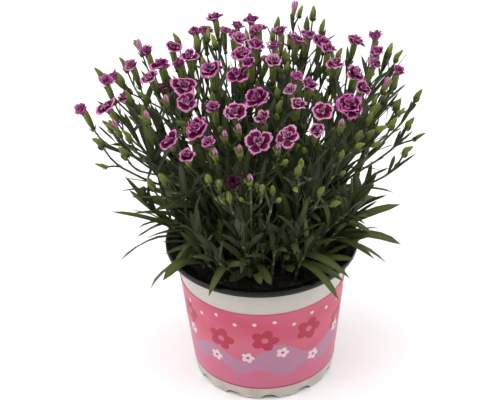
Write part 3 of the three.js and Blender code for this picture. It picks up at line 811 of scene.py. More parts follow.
class Line:
    """A line through evenly spaced points, with a side and a normal at each."""

    def __init__(self, points, side):
        self.points = np.asarray(points, float)
        self.length = np.linalg.norm(np.diff(self.points, axis=0), axis=1).sum()
        ways = np.gradient(self.points, axis=0)
        self.ways = ways / np.linalg.norm(ways, axis=1)[:, None]
        sides = []
        for way in self.ways:
            side = unit(side - way * (side @ way))
            sides.append(side)
        self.sides = np.array(sides)
        self.normals = np.cross(self.ways, self.sides)

    def lay(self, shape, across, through, along=None, lift=0.0, twist=0.0):
        """A shape's points laid along the line. across and through scale it, in mm. lift moves each point
        against the normal, and twist turns it by the tip, in radians."""
        share = shape.points[:, 2] if along is None else along
        inside = np.clip(share, 0, 1)
        spot = inside * (len(self.points) - 1)
        low = np.minimum(spot.astype(int), len(self.points) - 2)
        part = (spot - low)[:, None]

        def at(values):
            return values[low] * (1 - part) + values[low + 1] * part

        c, s = np.cos(twist * share)[:, None], np.sin(twist * share)[:, None]
        side, normal = at(self.sides) * c + at(self.normals) * s, at(self.normals) * c - at(self.sides) * s
        out = at(self.points) + at(self.ways) * ((share - inside) * self.length)[:, None]
        out += side * (shape.points[:, 0] * across)[:, None]
        return out + normal * (shape.points[:, 1] * through - lift)[:, None]


class Growth:
    """A mesh that grows copy by copy. The attribute grain holds a point's place on its shape, and part holds
    the copy's tone, its kind and a draw of its own."""

    def __init__(self):
        self.points, self.corners, self.sizes, self.looks, self.grain, self.parts = [], [], [], [], [], []
        self.count = 0

    def add(self, shape, points, look=0, tone=0.5, kind=0.0, chance=0.5):
        """Adds a copy of a shape, with its points placed. Its tone may differ from point to point."""
        self.points.append(points)
        self.corners.append(shape.corners + self.count)
        self.sizes.append(shape.sizes)
        self.looks.append(np.full(len(shape.sizes), look, np.int32))
        self.grain.append(shape.grain)
        part = np.zeros((len(points), 3))
        part[:, 0], part[:, 1], part[:, 2] = tone, kind, chance
        self.parts.append(part)
        self.count += len(points)

    def build(self, name, looks):
        """The mesh as an object in metres, with its looks in order."""
        mesh = bpy.data.meshes.new(name)
        mesh.vertices.add(self.count)
        mesh.vertices.foreach_set("co", (np.concatenate(self.points) * MM).ravel())
        corners, sizes = np.concatenate(self.corners), np.concatenate(self.sizes)
        mesh.loops.add(len(corners))
        mesh.loops.foreach_set("vertex_index", corners)
        mesh.polygons.add(len(sizes))
        mesh.polygons.foreach_set("loop_start", np.cumsum(sizes) - sizes)
        mesh.polygons.foreach_set("material_index", np.concatenate(self.looks))
        for key, values in (("grain", self.grain), ("part", self.parts)):
            marks = mesh.attributes.new(key, "FLOAT_VECTOR", "POINT")
            marks.data.foreach_set("vector", np.concatenate(values).ravel())
        mesh.update(calc_edges=True)
        obj = bpy.data.objects.new(name, mesh)
        bpy.context.scene.collection.objects.link(obj)
        for look in looks:
            mesh.materials.append(look)
        smooth(obj, SHARP)
        return obj


SHARP = 50  # the least angle of a plant's edge that stays sharp, in degrees


def smooth(obj, angle):
    """Shades an object smooth, apart from edges sharper than an angle in degrees."""
    take_up(obj)
    bpy.ops.object.shade_smooth_by_angle(angle=math.radians(angle))


def place(obj, name, slot, *nodes):
    """Names a finished piece, fixes it to the part's body and hides the nodes it stands for."""
    obj.name = obj.data.name = name
    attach(obj, "root")
    if nodes:
        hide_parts(*nodes)
    return obj


# ---------- shapes that are copied ----------
LEAF_WIDTHS = (0.5, 0.7, 0.86, 0.96, 1, 0.97, 0.84, 0.55, 0)
BROAD_LEAF_WIDTHS = (0.4, 0.56, 0.76, 0.92, 1, 1, 0.94, 0.72, 0)
BRACT_WIDTHS = (0.8, 1, 0.7, 0)
PETAL_WIDTHS = (0.12, 0.13, 0.17, 0.36, 0.72, 0.95, 1, 0.88)
PETAL_COLUMNS = 8
# How far the points of a petal's edge stand out, from its corner to its middle.
PETAL_TEETH = (-0.26, -0.1, -0.06, 0.01, -0.03)
FOLDED_SIDES = 10
# Profiles of turned shapes, from foot to tip: (radius, height).
CALYX_PROFILE = (
    (0, 0), (0.34, 0), (0.5, 0.08), (0.68, 0.24), (0.85, 0.44), (0.97, 0.66), (0.99, 0.86), (1.02, 0.96),
    (0.9, 0.92), (0.7, 0.84), (0, 0.82),
)
BUD_PROFILE = (
    (0, 0), (0.4, 0), (0.74, 0.08), (0.96, 0.24), (1, 0.4), (0.94, 0.56), (0.78, 0.72), (0.52, 0.87),
    (0.22, 0.97), (0, 1),
)
FURLED_PROFILE = ((0, 0), (0.6, 0), (0.88, 0.28), (0.98, 0.6), (0.88, 0.86), (0.62, 1), (0.3, 0.88), (0, 0.8))


def keeled_blade(thick, keel, widths):
    """A blade 1 wide and 1 long, with a channel along its middle and a keel below it."""
    blade = slab(2, len(widths) - 1, thick)
    pick(lambda _, mark: abs(mark.x) < 0.01)
    shift(z=-keel)
    shape_rows(widths)
    return take_shape(blade)


@functools.cache
def leaf_shape(broad):
    """A lance-shaped leaf. A broad one has a blunter tip."""
    return keeled_blade(0.07, 0.13, BROAD_LEAF_WIDTHS if broad else LEAF_WIDTHS)


@functools.cache
def bract_shape():
    """A small pointed scale."""
    return keeled_blade(0.12, 0.2, BRACT_WIDTHS)


@functools.cache
def petal_shape():
    """A petal, 1 wide and 1 long: a narrow claw, a broad blade and a toothed, rounded edge."""
    rows, half = len(PETAL_WIDTHS) - 1, PETAL_COLUMNS / 2
    petal = slab(PETAL_COLUMNS, rows, 0.035)
    pick(lambda _, mark: mark.y > 0.99)
    shift(y=0.03)
    for column, out in enumerate(PETAL_TEETH):
        pick(lambda _, mark, place=1 - column / half: mark.y > 0.99 and abs(abs(mark.x) - place) < 0.01)
        shift(y=out)
    pick(lambda _, mark: abs(mark.y - (rows - 1) / rows) < 0.01 and abs(mark.x) > 0.99)
    shift(y=-0.09)
    shape_rows(PETAL_WIDTHS)
    return take_shape(petal)


@functools.cache
def stem_shape(rings):
    """A six-sided rod of radius 1 and length 1, with a number of rings."""
    return take_shape(turn([(0, 0)] + [(1, i / (rings - 1)) for i in range(rings)] + [(0, 1)], 6))


def is_fold(at):
    """True for every other side of a turned shape."""
    return round(math.atan2(at.y, at.x) / math.tau * FOLDED_SIDES) % 2 == 0


@functools.cache
def calyx_shape():
    """A calyx of radius 1 and length 1: a tube with five teeth round its open mouth."""
    calyx = turn(CALYX_PROFILE, FOLDED_SIDES)
    edit()
    pick(lambda at, _: at.z > 0.95 and is_fold(at))
    shift(z=0.15)
    stretch(1.1, 1.1, 1)
    pick(lambda at, _: 0.3 < at.z < 0.9 and at.xy.length > 0.95 and not is_fold(at))
    stretch(0.94, 0.94, 1)
    return take_shape(calyx)


@functools.cache
def bud_shape():
    """A closed bud of radius 1 and length 1, folded towards its tip."""
    bud = turn(BUD_PROFILE, FOLDED_SIDES)
    edit()
    pick(lambda at, _: 0.6 < at.z < 0.98 and is_fold(at))
    stretch(0.84, 0.84, 1)
    return take_shape(bud)


@functools.cache
def furled_shape():
    """Furled petals, radius 1 and length 1, with an uneven, hollow top."""
    furled = turn(FURLED_PROFILE, FOLDED_SIDES)
    edit()
    pick(lambda at, _: at.z > 0.2 and at.xy.length > 0.5 and is_fold(at))
    stretch(0.78, 0.78, 0.93)
    return take_shape(furled)


@functools.cache
def crumb_shape():
    """An uneven crumb of radius 1."""
    take_up()
    bpy.ops.mesh.primitive_ico_sphere_add(subdivisions=1, radius=1, location=(0, 0, 0))
    crumb = bpy.context.active_object
    edit()
    pick(lambda at, _: at.x + 0.4 * at.y > 0.5)
    stretch(0.6, 1.2, 0.8)
    pick(lambda at, _: at.y - at.z > 0.7)
    shift(0.1, -0.25, 0.15)
    return take_shape(crumb)


# ---------- flowers ----------
# Whorls of petals, from the outside in: (petals, reach, rise and width as shares of the radius, kind). Kind 0
# is a broad outer petal, 1 an inner one, 2 a folded one, and 3 is a furled tip.
WHORLS = [(5, 1, 0.04, 1.04, 0), (3, 0.48, 0.24, 0.5, 1), (2, 0.22, 0.3, 0.34, 2)]
FULL_WHORLS = [(6, 1, 0, 0.98, 0), (5, 0.8, 0.16, 0.8, 0), (4, 0.52, 0.3, 0.5, 1), (3, 0.24, 0.36, 0.36, 2)]
SMALL_WHORLS = [(6, 1.02, 0, 1.16, 0), (4, 0.7, 0.2, 0.9, 0.5), (3, 0.4, 0.34, 0.58, 1)]
WHORL_TURN = math.radians(24)
PETAL_POINTS = 9
PETAL_FLESH = 9  # mm for each 1 of the petal shape's thickness
CLAW = 0.45  # the share of a petal that is its narrow claw
SMALL_FLOWER = 5.5
UPRIGHT_FLOWER = 7.5  # flowers up to this radius that hardly nod face up
UPRIGHT_NOD = 0.2
FADED_TONE = -1
PALE_SPREAD = (0.1, 0.5)  # how pale the edges of most flowers are
FLOWER_TILT = (0.42, 0.4)  # how far a flower may tilt aside and forward or back
PETAL_SWING = 0.17  # how far a petal may stand from its even place, in radians
PETAL_REACHES = (0.72, 0.98)
PETAL_WIDTH_SPREAD = (0.82, 1)
PETAL_CURL = 0.22  # how far a petal's edge may curl, as a share of the radius
PETAL_TWIST = 0.22
PETAL_CUP = 1.1
PETAL_WAVES = (0.03, 0.09)
EDGE_RIPPLE = 0.022
# The furled petals at the tip of a bud: (mm aside, length and radius as shares of the bud's).
TIP_PETALS = ((0, 0.68, 0.8), (0.5, 0.6, 0.5), (-0.5, 0.56, 0.5))
FURLED_KIND = 3


def evenly(points, count):
    """A number of evenly spaced points along a line of many."""
    run = np.concatenate([[0], np.cumsum(np.linalg.norm(np.diff(points, axis=0), axis=1))])
    at = np.linspace(0, run[-1], count)
    return np.stack([np.interp(at, run, points[:, n]) for n in range(points.shape[1])], 1)


def lay_petal(head, axis, around, reach, rise, curl):
    """The line of a petal, from inside the calyx to its edge."""
    cup = PETAL_RISE + (1 - head.open) * head.radius * 1.2
    bowl = 0.5 + 0.5 * head.open
    throat = 1.1 * min(1, reach * 1.4)
    curve = [
        np.array([0.35, -3.5]),
        np.array([throat, bowl * cup * 0.7]),
        np.array([reach * head.radius * (0.62 - 0.2 * head.open), bowl * (cup + rise * head.radius) + 0.6]),
        np.array([reach * head.radius, cup + rise * head.radius + curl]),
    ]
    line = evenly(points_on(curve, np.linspace(0, 1, 4 * PETAL_POINTS)), PETAL_POINTS)
    side, other = frame_on(axis)
    out = side * math.sin(around) + other * math.cos(around)
    mouth = head.base + head.axis * CALYX_LENGTH
    return Line(mouth + line[:, :1] * out + line[:, 1:] * axis, cross(out, axis))


def grow_flower(growth, head, draw):
    """The petals of a flower, whorl by whorl."""
    petal, pale = petal_shape(), PALE.get(head.key, draw.between(*PALE_SPREAD))
    upright = head.nod <= UPRIGHT_NOD and head.radius <= UPRIGHT_FLOWER
    front = FRONT * (0.08 if upright else 0.16 - 0.34 * head.nod)
    tilt = np.array([draw.about(FLOWER_TILT[0]), draw.about(FLOWER_TILT[1]), 0])
    axis = unit(head.axis + front + tilt)
    start = draw.between(0, math.tau)
    whorls = SMALL_WHORLS if upright or head.radius <= SMALL_FLOWER else WHORLS
    if head.key in FULL:
        whorls = FULL_WHORLS
    tone = FADED_TONE if head.key in FADED else pale
    across, along = petal.grain[:, 0], petal.grain[:, 1]
    blade = np.clip((along - CLAW) / (1 - CLAW), 0, 1)
    for w, (count, reach, rise, width, kind) in enumerate(whorls):
        for i in range(count):
            around = start + math.tau * i / count + w * WHORL_TURN + draw.about(PETAL_SWING)
            size, curl = reach * draw.between(*PETAL_REACHES), head.radius * draw.about(PETAL_CURL)
            line = lay_petal(head, axis, around, size, rise * draw.between(0.8, 1.2), curl)
            cupped = (draw.about(PETAL_CUP) + 0.8 * (1 - head.open) + 0.5 * kind) * head.radius / 8
            lift = cupped * across**2 * blade + 0.45 * across * blade
            wave = draw.between(*PETAL_WAVES) * head.radius
            lift += wave * np.sin(across * draw.between(3, 6) + draw.between(0, 6)) * blade**2
            edge = EDGE_RIPPLE * np.sin(across * draw.between(5, 10) + draw.between(0, 6)) * blade**2
            spread_to = width * head.radius * draw.between(*PETAL_WIDTH_SPREAD)
            along_line = petal.points[:, 2] + edge
            points = line.lay(petal, spread_to, PETAL_FLESH, along_line, lift, draw.about(PETAL_TWIST))
            growth.add(petal, points, 0, tone, kind, draw())


def grow_tip(growth, head, draw):
    """The furled petals that show at the tip of a bud."""
    furled, start = furled_shape(), head.base + head.axis * (BUD_LENGTH * 0.4)
    side, other = frame_on(head.axis)
    for lean, length, radius in TIP_PETALS:
        out = side * lean + other * draw.about(0.3)
        line = Line([start, start + head.axis * (BUD_LENGTH * length) + out], side)
        points = line.lay(furled, BUD_RADIUS * radius, BUD_RADIUS * radius, twist=0.8)
        growth.add(furled, points + out, 0, 0.3, FURLED_KIND, draw())


# ---------- greens ----------
LEAF_LOOK, STEM_LOOK, CALYX_LOOK = range(3)
KNOT_REACH = 1.5
KNOT_SWELL = 1.3
STEM_POINTS = 33
BROAD_LEAF = 6  # leaves from this width on are blunt
BRACTS = 4
BRACT_LENGTH = 3.6


def grow_stem(growth, curve, knots, thick, thin, draw):
    """A stem with a swollen knot at each bend."""
    reach = KNOT_REACH / length_of(curve)
    rings = {0.0, 1.0}
    for knot in knots:
        rings |= {knot - 2 * reach, knot - reach * 0.5, knot + reach * 0.5, knot + 2 * reach}
    stops = sorted([0.0, *knots, 1])
    rings |= {(a + b) / 2 for a, b in zip(stops, stops[1:])}
    rings = np.array(sorted(rings))
    shape = stem_shape(len(rings))
    line = Line(points_on(curve, np.linspace(0, 1, STEM_POINTS)), np.array([1.0, 0.1, 0]))
    ring = np.rint(shape.points[:, 2] * (len(rings) - 1)).astype(int)
    along = rings[ring]
    radius, tone = thick + (thin - thick) * along, np.zeros(len(along))
    for knot in knots:
        swollen = abs(along - knot) < 0.6 * reach
        radius, tone = np.where(swollen, radius * KNOT_SWELL, radius), np.where(swollen, 1, tone)
    points = line.lay(shape, radius, radius, along=along)
    growth.add(shape, points, STEM_LOOK, tone, 0, draw())


def grow_leaf(growth, leaf, draw, tone, aside=0.9):
    """A leaf with its channel, a slight bend to one side and a slight twist."""
    broad = leaf.width >= BROAD_LEAF
    shape, width = leaf_shape(broad), leaf.width * (draw.between(0.84, 1.16) if broad else 1)
    bend = leaf.across * draw.about(aside) * (1 + leaf.width / BROAD_LEAF)
    run = np.linspace(0, 1, len(leaf.points))[:, None]
    line = Line(leaf.points + bend * run**2, leaf.across)
    share, across = shape.points[:, 2], shape.grain[:, 0]
    flat = draw.between(-0.3, 0.1) * leaf.width * share * across**2
    points = line.lay(shape, width, width, lift=flat, twist=draw.about(0.9))
    growth.add(shape, points, LEAF_LOOK, tone, 0, draw())


def grow_bracts(growth, head, draw, radius, length=BRACT_LENGTH):
    """The small scales that clasp the foot of a calyx or bud."""
    side, other = frame_on(head.axis)
    bract = bract_shape()
    for i in range(BRACTS):
        around = math.tau * i / BRACTS + draw.about(0.2)
        out = side * math.sin(around) + other * math.cos(around)
        foot = head.base - head.axis * 0.6 + out * (radius * 0.3)
        tip = head.base + head.axis * (length * draw.between(0.85, 1.15)) + out * (radius * 1.04)
        belly = mix(foot, tip, 0.4) + out * (radius * 0.32)
        line = Line([foot, belly, tip], cross(out, head.axis))
        points = line.lay(bract, radius * 1.35, radius * 1.2, lift=-0.5 * bract.grain[:, 0] ** 2)
        growth.add(bract, points, CALYX_LOOK, draw.between(0.2, 0.5), 1, draw())


def grow_calyx(growth, head, draw):
    """The green tube under a flower."""
    calyx = calyx_shape()
    line = Line([head.base, head.base + head.axis * CALYX_LENGTH], frame_on(head.axis)[0])
    points = line.lay(calyx, CALYX_RADIUS, CALYX_RADIUS, twist=draw.between(0, 0.2))
    growth.add(calyx, points, CALYX_LOOK, draw.between(0.2, 0.9), 0, draw())
    grow_bracts(growth, head, draw, CALYX_RADIUS * 0.78)


BUD_LEAN = 1.2
OUTWARD = 0.024  # how far the tip of a bud leans outward, for each mm from the middle


def grow_bud(growth, head, draw, size=1.0):
    """A bud, open at the tip if it shows colour."""
    coloured = head.key in COLOURED
    shape = calyx_shape() if coloured else bud_shape()
    length = BUD_LENGTH * size * (0.82 if coloured else draw.between(0.74, 1.04))
    side, other = frame_on(head.axis)
    tip = head.axis * length + side * draw.about(BUD_LEAN) + other * draw.about(BUD_LEAN)
    tip = tip + np.array([head.at[0], head.at[1], 0]) * OUTWARD
    line = Line([head.base, head.base + head.axis * (length / 2), head.base + tip], side)
    radius = head.radius * size * draw.between(0.78, 1.04)
    growth.add(shape, line.lay(shape, radius, radius), CALYX_LOOK, draw.between(0.4, 1), 0, draw())
    grow_bracts(growth, head, draw, radius, length * draw.between(0.34, 0.55))


# ---------- the rest of the plant: smaller leaves, leafy shoots and side buds ----------
LEAFY_SHOOTS = 76
LEAFY_SPREAD = FOOT_SPREAD + 6
LEAFY_STEP = 8.5
LOW_LEAVES = 52
# Broad leaves over the mix at the front: (shoot, share up its stem, direction from +X, length, width, rise at
# the root, droop by the tip, tone).
FRONT_LEAVES = [
    (16, 0.12, -52, 20, 6.4, 5, 60, 1.1), (16, 0.24, 8, 15, 6.4, 40, 90, 1.1),
    (5, 0.12, -137, 24, 7, 30, 100, 0.95), (8, 0.1, -80, 26, 6.4, 25, 80, 0.2),
    (13, 0.15, -135, 28, 6.2, 30, 85, 0.5), (11, 0.08, -20, 26, 6.4, 15, 50, 0.3),
    (14, 0.06, -75, 25, 6.2, 25, 75, 0.3), (3, 0.12, -110, 24, 6, 20, 70, 0.1),
    (16, 0.06, -160, 20, 6, 20, 60, 0.2),
]
# The young shoot at the front: its foot, how far its tip stands from it, its tone, and its leaves as
# (direction, length, width, rise, droop).
YOUNG_FOOT = (32, -26)
YOUNG_REACH = (3, -1, 13)
YOUNG_TONE = 1.2
YOUNG_LEAVES = [
    (19, 38, 5.4, 52, 14), (8, 38, 5.4, 34, 16), (50, 32, 5, 64, 16), (-14, 27, 5.4, 20, 26),
    (172, 17, 5, 45, 80), (100, 28, 4.6, 66, 30),
]
SIDE_BUDS = 0.45
SIDE_FLOWERS = 0.15
SIDE_TRIES = 6
BACK_HEADS = 70
BACK_FLOWERS = 0.16
BACK_HEIGHTS = (136, 210)
BACK_RADII = (5.6, 8)
BACK_FORK = 45  # how far below its head an added stem leaves
HEAD_ROOM = 13
BACK_END = 108  # no added head stands further back
GOLDEN_SHARE = 0.618034
# Heads behind those of the crown: (mm right, mm above, radius, openness, mm behind).
FAR_HEADS = [
    (-31, 113, 7.5, 0.9, 12), (-18, 114, 6.5, 0.9, 11), (-9, 117, 6, 0.9, 10), (6, 115, 6.5, 0.9, 8),
    (-2, 110, 2.3, 0, 22), (-24, 107, 2.3, 0, 16), (27, 108, 2.3, 0, 20), (50, 104, 2.3, 0, 16),
    (-36, 106, 2.3, 0, 16), (60, 100, 2.3, 0, 20), (-47, 92, 6, 0.8, 18), (18, 117, 2.3, 0, 8),
    (0, 99, 6, 0.7, 20), (24, 98, 2.3, 0, 18),
]
BARE_FOOT = 11
OPEN_SIDE = -30  # further left than this the stems are barer
OPEN_HEIGHT = 42  # leafy shoots on the left are no taller than this
FRONT_SHOOTS = 0.6  # share of the leafy shoots that stand at the front
UPRIGHT = 0.24  # how far the leaves on a leaning stem turn upright
LEAF_BEND = 1.4  # above 1 an added leaf bends more towards its tip
ADDED_TURNS = (0, 25, -25, 50)
BOX_MARGIN = 2  # how far an added leaf may pass the solids' box
BARE_RIM = (12, 22)  # tips stay off the front of the rim, this far inside it and above it


def fits(leaf, air):
    """True if a leaf keeps clear of the heads, the mix, the pot and the plant's own box."""
    spots, sizes = balls_on_leaf(leaf)
    low, high = np.array(CAD_BOX[0]) / MM, np.array(CAD_BOX[1]) / MM
    if (spots < low - BOX_MARGIN).any() or (spots > high + BOX_MARGIN).any():
        return False
    x, y, z = leaf.points[-1]
    if y < -abs(x) and math.hypot(x, y) > RIM_RADIUS - BARE_RIM[0] and z < RIM_TOP + BARE_RIM[1]:
        return False
    return is_above_ground(spots, sizes) and air.is_free(spots, sizes, clear=0.4)


def lay_on_stem(root, way, around, length, width, lean, droop):
    """A leaf that leaves a stem at an angle from the stem's own direction and bends away from it."""
    out, points = square_to(way, math.radians(around)), [root]
    for i in range(LEAF_STEPS):
        angle = math.radians(lean + droop * ((i + 0.5) / LEAF_STEPS) ** LEAF_BEND)
        onward = unit(mix(way * math.cos(angle) + out * math.sin(angle), UP, UPRIGHT))
        points.append(points[-1] + onward * (length / LEAF_STEPS))
    return Leaf(np.array(points), cross(out, way), width)


def add_leaf(growth, air, draw, root, way, around, length, width, lean, droop):
    """Adds a leaf to a stem, in the first turn that fits."""
    for turned in ADDED_TURNS:
        leaf = lay_on_stem(root, way, around + turned, length, width, lean, droop)
        if fits(leaf, air):
            grow_leaf(growth, leaf, draw, leaf_tone(root, draw))
            return


def is_front(at):
    """True for a place in the front of the plant, where the leaves are sparse and small."""
    return at[1] < -0.4 * abs(at[0])


def leaf_tone(root, draw):
    """Lower leaves are lighter, apart from those at the front, which are darkened with painted shade."""
    return 0.72 - 0.24 * is_front(root) - 0.65 * height_share(root[2]) + draw.about(0.33)


def fill_stem(growth, stem, air, draw):
    """Pairs of leaves at the knots of a stem, and small ones under its head."""
    start = draw.between(0, 360)
    knots = bends_of(stem.main)
    for i, t in enumerate([*knots, 0.5 * (knots[-1] + 1)]):
        root, way = points_on(stem.curve, t), heading_on(stem.curve, t)
        share = height_share(root[2])
        if root[0] < OPEN_SIDE and share > 0.52 and i % 3:
            continue
        for half in (0, 180):
            length = LEAF_LENGTH * (1.1 - 0.8 * share) * draw.between(0.7, 1.1)
            width = LEAF_WIDTH * (0.95 - 0.55 * share)
            lean, droop = draw.between(8, 24), draw.between(-10, 50) * (1.15 - share)
            if is_front(root) and share < 0.5:
                length, droop = length * draw.between(0.35, 0.6), droop + draw.between(20, 80)
            add_leaf(growth, air, draw, root, way, start + 90 * i + half, length, width, lean, droop)
    t = draw.between(0.86, 0.94)
    for half in (0, 180):
        root, way, length = points_on(stem.curve, t), heading_on(stem.curve, t), draw.between(6, 11)
        add_leaf(growth, air, draw, root, way, start + 45 + half, length, 2.2, draw.between(8, 24), 8)


def grow_low_leaves(growths, shoots, air, draw):
    """Broad leaves round the foot of the plant, apart from its front."""
    for i in range(LOW_LEAVES):
        heading = toward(GOLDEN_ANGLE * i + 60)
        if heading[1] < SKIRT_FRONT:
            continue
        shoot = nearest_foot(shoots, heading * FOOT_SPREAD)
        root = points_on(shoot.stems[0].curve, draw.between(0.02, 0.2))
        length, width = draw.between(28, 50), draw.between(4.8, 6.4)
        leaf = lay_leaf(root, heading, length, width, draw.between(20, 62), draw.between(20, 95))
        if fits(leaf, air):
            grow_leaf(growths[shoot.k], leaf, draw, leaf_tone(root, draw))


def grow_front_leaves(growths, shoots, draw):
    """The broad leaves over the mix at the front, and the light leaves of a young shoot beside them."""
    for number, share, direction, length, width, rise, droop, tone in FRONT_LEAVES:
        root = points_on(shoots[number - 1].stems[0].curve, share)
        leaf = lay_leaf(root, toward(direction), length, width, rise, droop)
        grow_leaf(growths[number - 1], leaf, draw, tone, 0.3)
    foot = np.array([*YOUNG_FOOT, soil_height(*YOUNG_FOOT)])
    growth = growths[nearest_foot(shoots, foot).k]
    tip = foot + np.array(YOUNG_REACH)
    grow_stem(growth, [foot - UP, foot + UP * 4, tip - UP * 4, tip], [0.5], 1, 0.8, draw)
    for i, (direction, length, width, rise, droop) in enumerate(YOUNG_LEAVES):
        leaf = lay_leaf(mix(foot, tip, 0.4 + 0.1 * i), toward(direction), length, width, rise, droop)
        grow_leaf(growth, leaf, draw, YOUNG_TONE, 0.4)


def grow_leafy_shoot(growth, x, y, air, draw):
    """A shoot without flowers: pairs of leaves up a short stem, and a tuft at its tip."""
    foot = np.array([x, y, soil_height(x, y) - 1])
    out = math.hypot(x, y) / FOOT_SPREAD
    tall = draw.between(34, 82) * (1.1 - 0.35 * out)
    if x < OPEN_SIDE / 2:
        tall = min(tall, OPEN_HEIGHT)
    lean = unit(np.array([x, y, 0]) + 1e-6) * (tall * draw.between(0.3, 0.75) * out)
    tip = foot + lean + UP * tall
    curve = [foot, foot + UP * tall * 0.35, tip - UP * tall * 0.3 - lean * 0.2, tip]
    if is_front(foot) and draw() > FRONT_SHOOTS:
        return
    count = max(3, int(tall / LEAFY_STEP))
    knots = [(i + 1) / count for i in range(count)]
    grow_stem(growth, curve, knots[:-1], 1.0, 0.6, draw)
    start = draw.between(0, 360)
    for i, t in enumerate(knots):
        root, way = points_on(curve, t), heading_on(curve, t)
        if root[2] < SOIL_LEVEL + BARE_FOOT and is_front(root):
            continue
        for half in (0, 180):
            length, width = (24 + 20 * (1 - t)) * draw.between(0.8, 1.15), draw.between(3.2, 4.9)
            lean, droop = 30 - 16 * t + draw.about(8), draw.between(0, 70)
            add_leaf(growth, air, draw, root, way, start + 90 * i + half, length, width, lean, droop)


def side_bud(stem, air, draw):
    """A small bud, or a small flower, on a stalk of its own beside a head, or nothing."""
    flower = draw() < SIDE_FLOWERS and stem.head.at[1] > 10
    for _ in range(SIDE_TRIES):
        t = draw.between(0.72, 0.92)
        start, way = points_on(stem.curve, t), heading_on(stem.curve, t)
        out = square_to(way, draw.between(0, math.tau))
        axis = unit(way + out * 0.45 + UP * 0.2)
        at = start + unit(way + out * 0.6) * draw.between(9, 17)
        at[1] = min(at[1], BACK_END + 4)
        radius = draw.between(4.2, 5.6) if flower else BUD_RADIUS
        bud = Head((), at, radius, draw.between(0.5, 0.9) if flower else 0, 0, axis, at - axis * 2)
        spots, sizes = (balls_on_petals if flower else balls_on_head)(bud)
        if air.is_free(spots, sizes, head=stem.head, clear=0) and is_above_ground(spots, sizes):
            air.take(spots, sizes, 0)
            return Stem([start, start + way * 4, bud.base - axis * 3, bud.base], bud, False)
    return None


def back_heads(heads, draw):
    """More heads where the crown and its skirt are bare."""
    added, spots = [], [head.at for head in heads if head.grown]

    def add(at, radius, opened):
        added.append(Head((), at, radius, opened, 0))
        set_head(added[-1])
        spots.append(at)

    for right, above, radius, opened, behind in FAR_HEADS:
        add(on_crown(right, above) - TO_EYE * behind, radius, opened)
    for i in range(BACK_HEADS):
        level = draw.between(*BACK_HEIGHTS)
        aside = 2 * ((i * GOLDEN_SHARE) % 1) - 1
        way = toward(90 + 68 * aside * abs(aside) ** 0.5)
        out = flare_at(level) * draw.between(0.86, 0.96)
        at = np.array([way[0] * CROWN_SIDE, way[1] * CROWN_BACK, 0]) * out
        at *= min(1, BACK_END / at[1])
        at[2] = level
        if min(np.linalg.norm(at - spot) for spot in spots) < HEAD_ROOM:
            continue
        flower = draw() < BACK_FLOWERS
        add(at, draw.between(*BACK_RADII) if flower else BUD_RADIUS, 0.9 if flower else 0)
    return added


# ---------- looks ----------
def hue(code):
    """A colour from its hex code, as light."""
    parts = [int(code[i : i + 2], 16) / 255 for i in (1, 3, 5)]
    return [part / 12.92 if part <= 0.04045 else ((part + 0.055) / 1.055) ** 2.4 for part in parts]


class Look:
    """A material that is built node by node."""

    def __init__(self, name, **values):
        self.material = bpy.data.materials.new(name)
        self.material.use_nodes = True
        self.tree = self.material.node_tree
        self.shader = next(node for node in self.tree.nodes if node.type == "BSDF_PRINCIPLED")
        self.set(**values)

    def set(self, **values):
        """Gives the shader its values, each a constant or another node's output."""
        for key, value in values.items():
            self.feed(self.shader.inputs[key.replace("_", " ")], value)

    def feed(self, socket, value):
        """Gives a socket a constant, or links it to another node's output."""
        if isinstance(value, bpy.types.NodeSocket):
            self.tree.links.new(value, socket)
        elif socket.type == "RGBA":
            socket.default_value = (*value[:3], 1)
        else:
            socket.default_value = value

    def node(self, kind, feeds, **settings):
        """Adds a node, with what feeds its sockets by name or number."""
        made = self.tree.nodes.new("ShaderNode" + kind)
        for key, value in settings.items():
            setattr(made, key, value)
        for key, value in feeds.items():
            self.feed(made.inputs[key], value)
        return made

    def sums(self, operation, a, b=0.0):
        """The result of two values."""
        return self.node("Math", {0: a, 1: b}, operation=operation).outputs[0]

    def plus(self, a, b):
        """Two values added."""
        return self.sums("ADD", a, b)

    def minus(self, a, b):
        """One value less another."""
        return self.sums("SUBTRACT", a, b)

    def times(self, a, b):
        """Two values multiplied."""
        return self.sums("MULTIPLY", a, b)

    def ramp(self, value, low, high, start=0.0, end=1.0):
        """A smooth step from start to end as a value goes from low to high."""
        feeds = {"Value": value, "From Min": low, "From Max": high, "To Min": start, "To Max": end}
        return self.node("MapRange", feeds, interpolation_type="SMOOTHSTEP").outputs[0]

    def blend(self, share, a, b):
        """A colour a share of the way from a to b."""
        return self.node("Mix", {0: share, 6: a, 7: b}, data_type="RGBA").outputs[2]

    def tint(self, base, colour, value, low, high, most=1.0):
        """A base that takes on a colour as a value goes from low to high, at most by a share."""
        return self.blend(self.ramp(value, low, high, 0, most), base, colour)

    def noise(self, at, scale, detail=3.0):
        """A soft noise between 0 and 1."""
        return self.node("TexNoise", {"Vector": at, "Scale": scale, "Detail": detail}).outputs["Fac"]

    def drawn_out(self, at, scale, detail=2.0):
        """A soft noise with its own scale along each axis."""
        return self.noise(self.node("Mapping", {"Vector": at, "Scale": scale}).outputs[0], 1.0, detail)

    def at(self):
        """The place in the object, in metres."""
        return self.node("TexCoord", {}).outputs["Object"]

    def marks(self, name):
        """The three values of a point attribute."""
        vector = self.node("Attribute", {}, attribute_name=name).outputs["Vector"]
        return self.node("SeparateXYZ", {0: vector}).outputs

    def bumps(self, height, depth, strength=1.0):
        """Raises the surface by a height, of a depth in metres."""
        feeds = {"Height": height, "Distance": depth, "Strength": strength}
        self.set(Normal=self.node("Bump", feeds).outputs[0])


GRIME_TOP = 0.03  # dirt thins out up to this height, in metres
SCRATCHES = (300.0, 300.0, 2600.0)


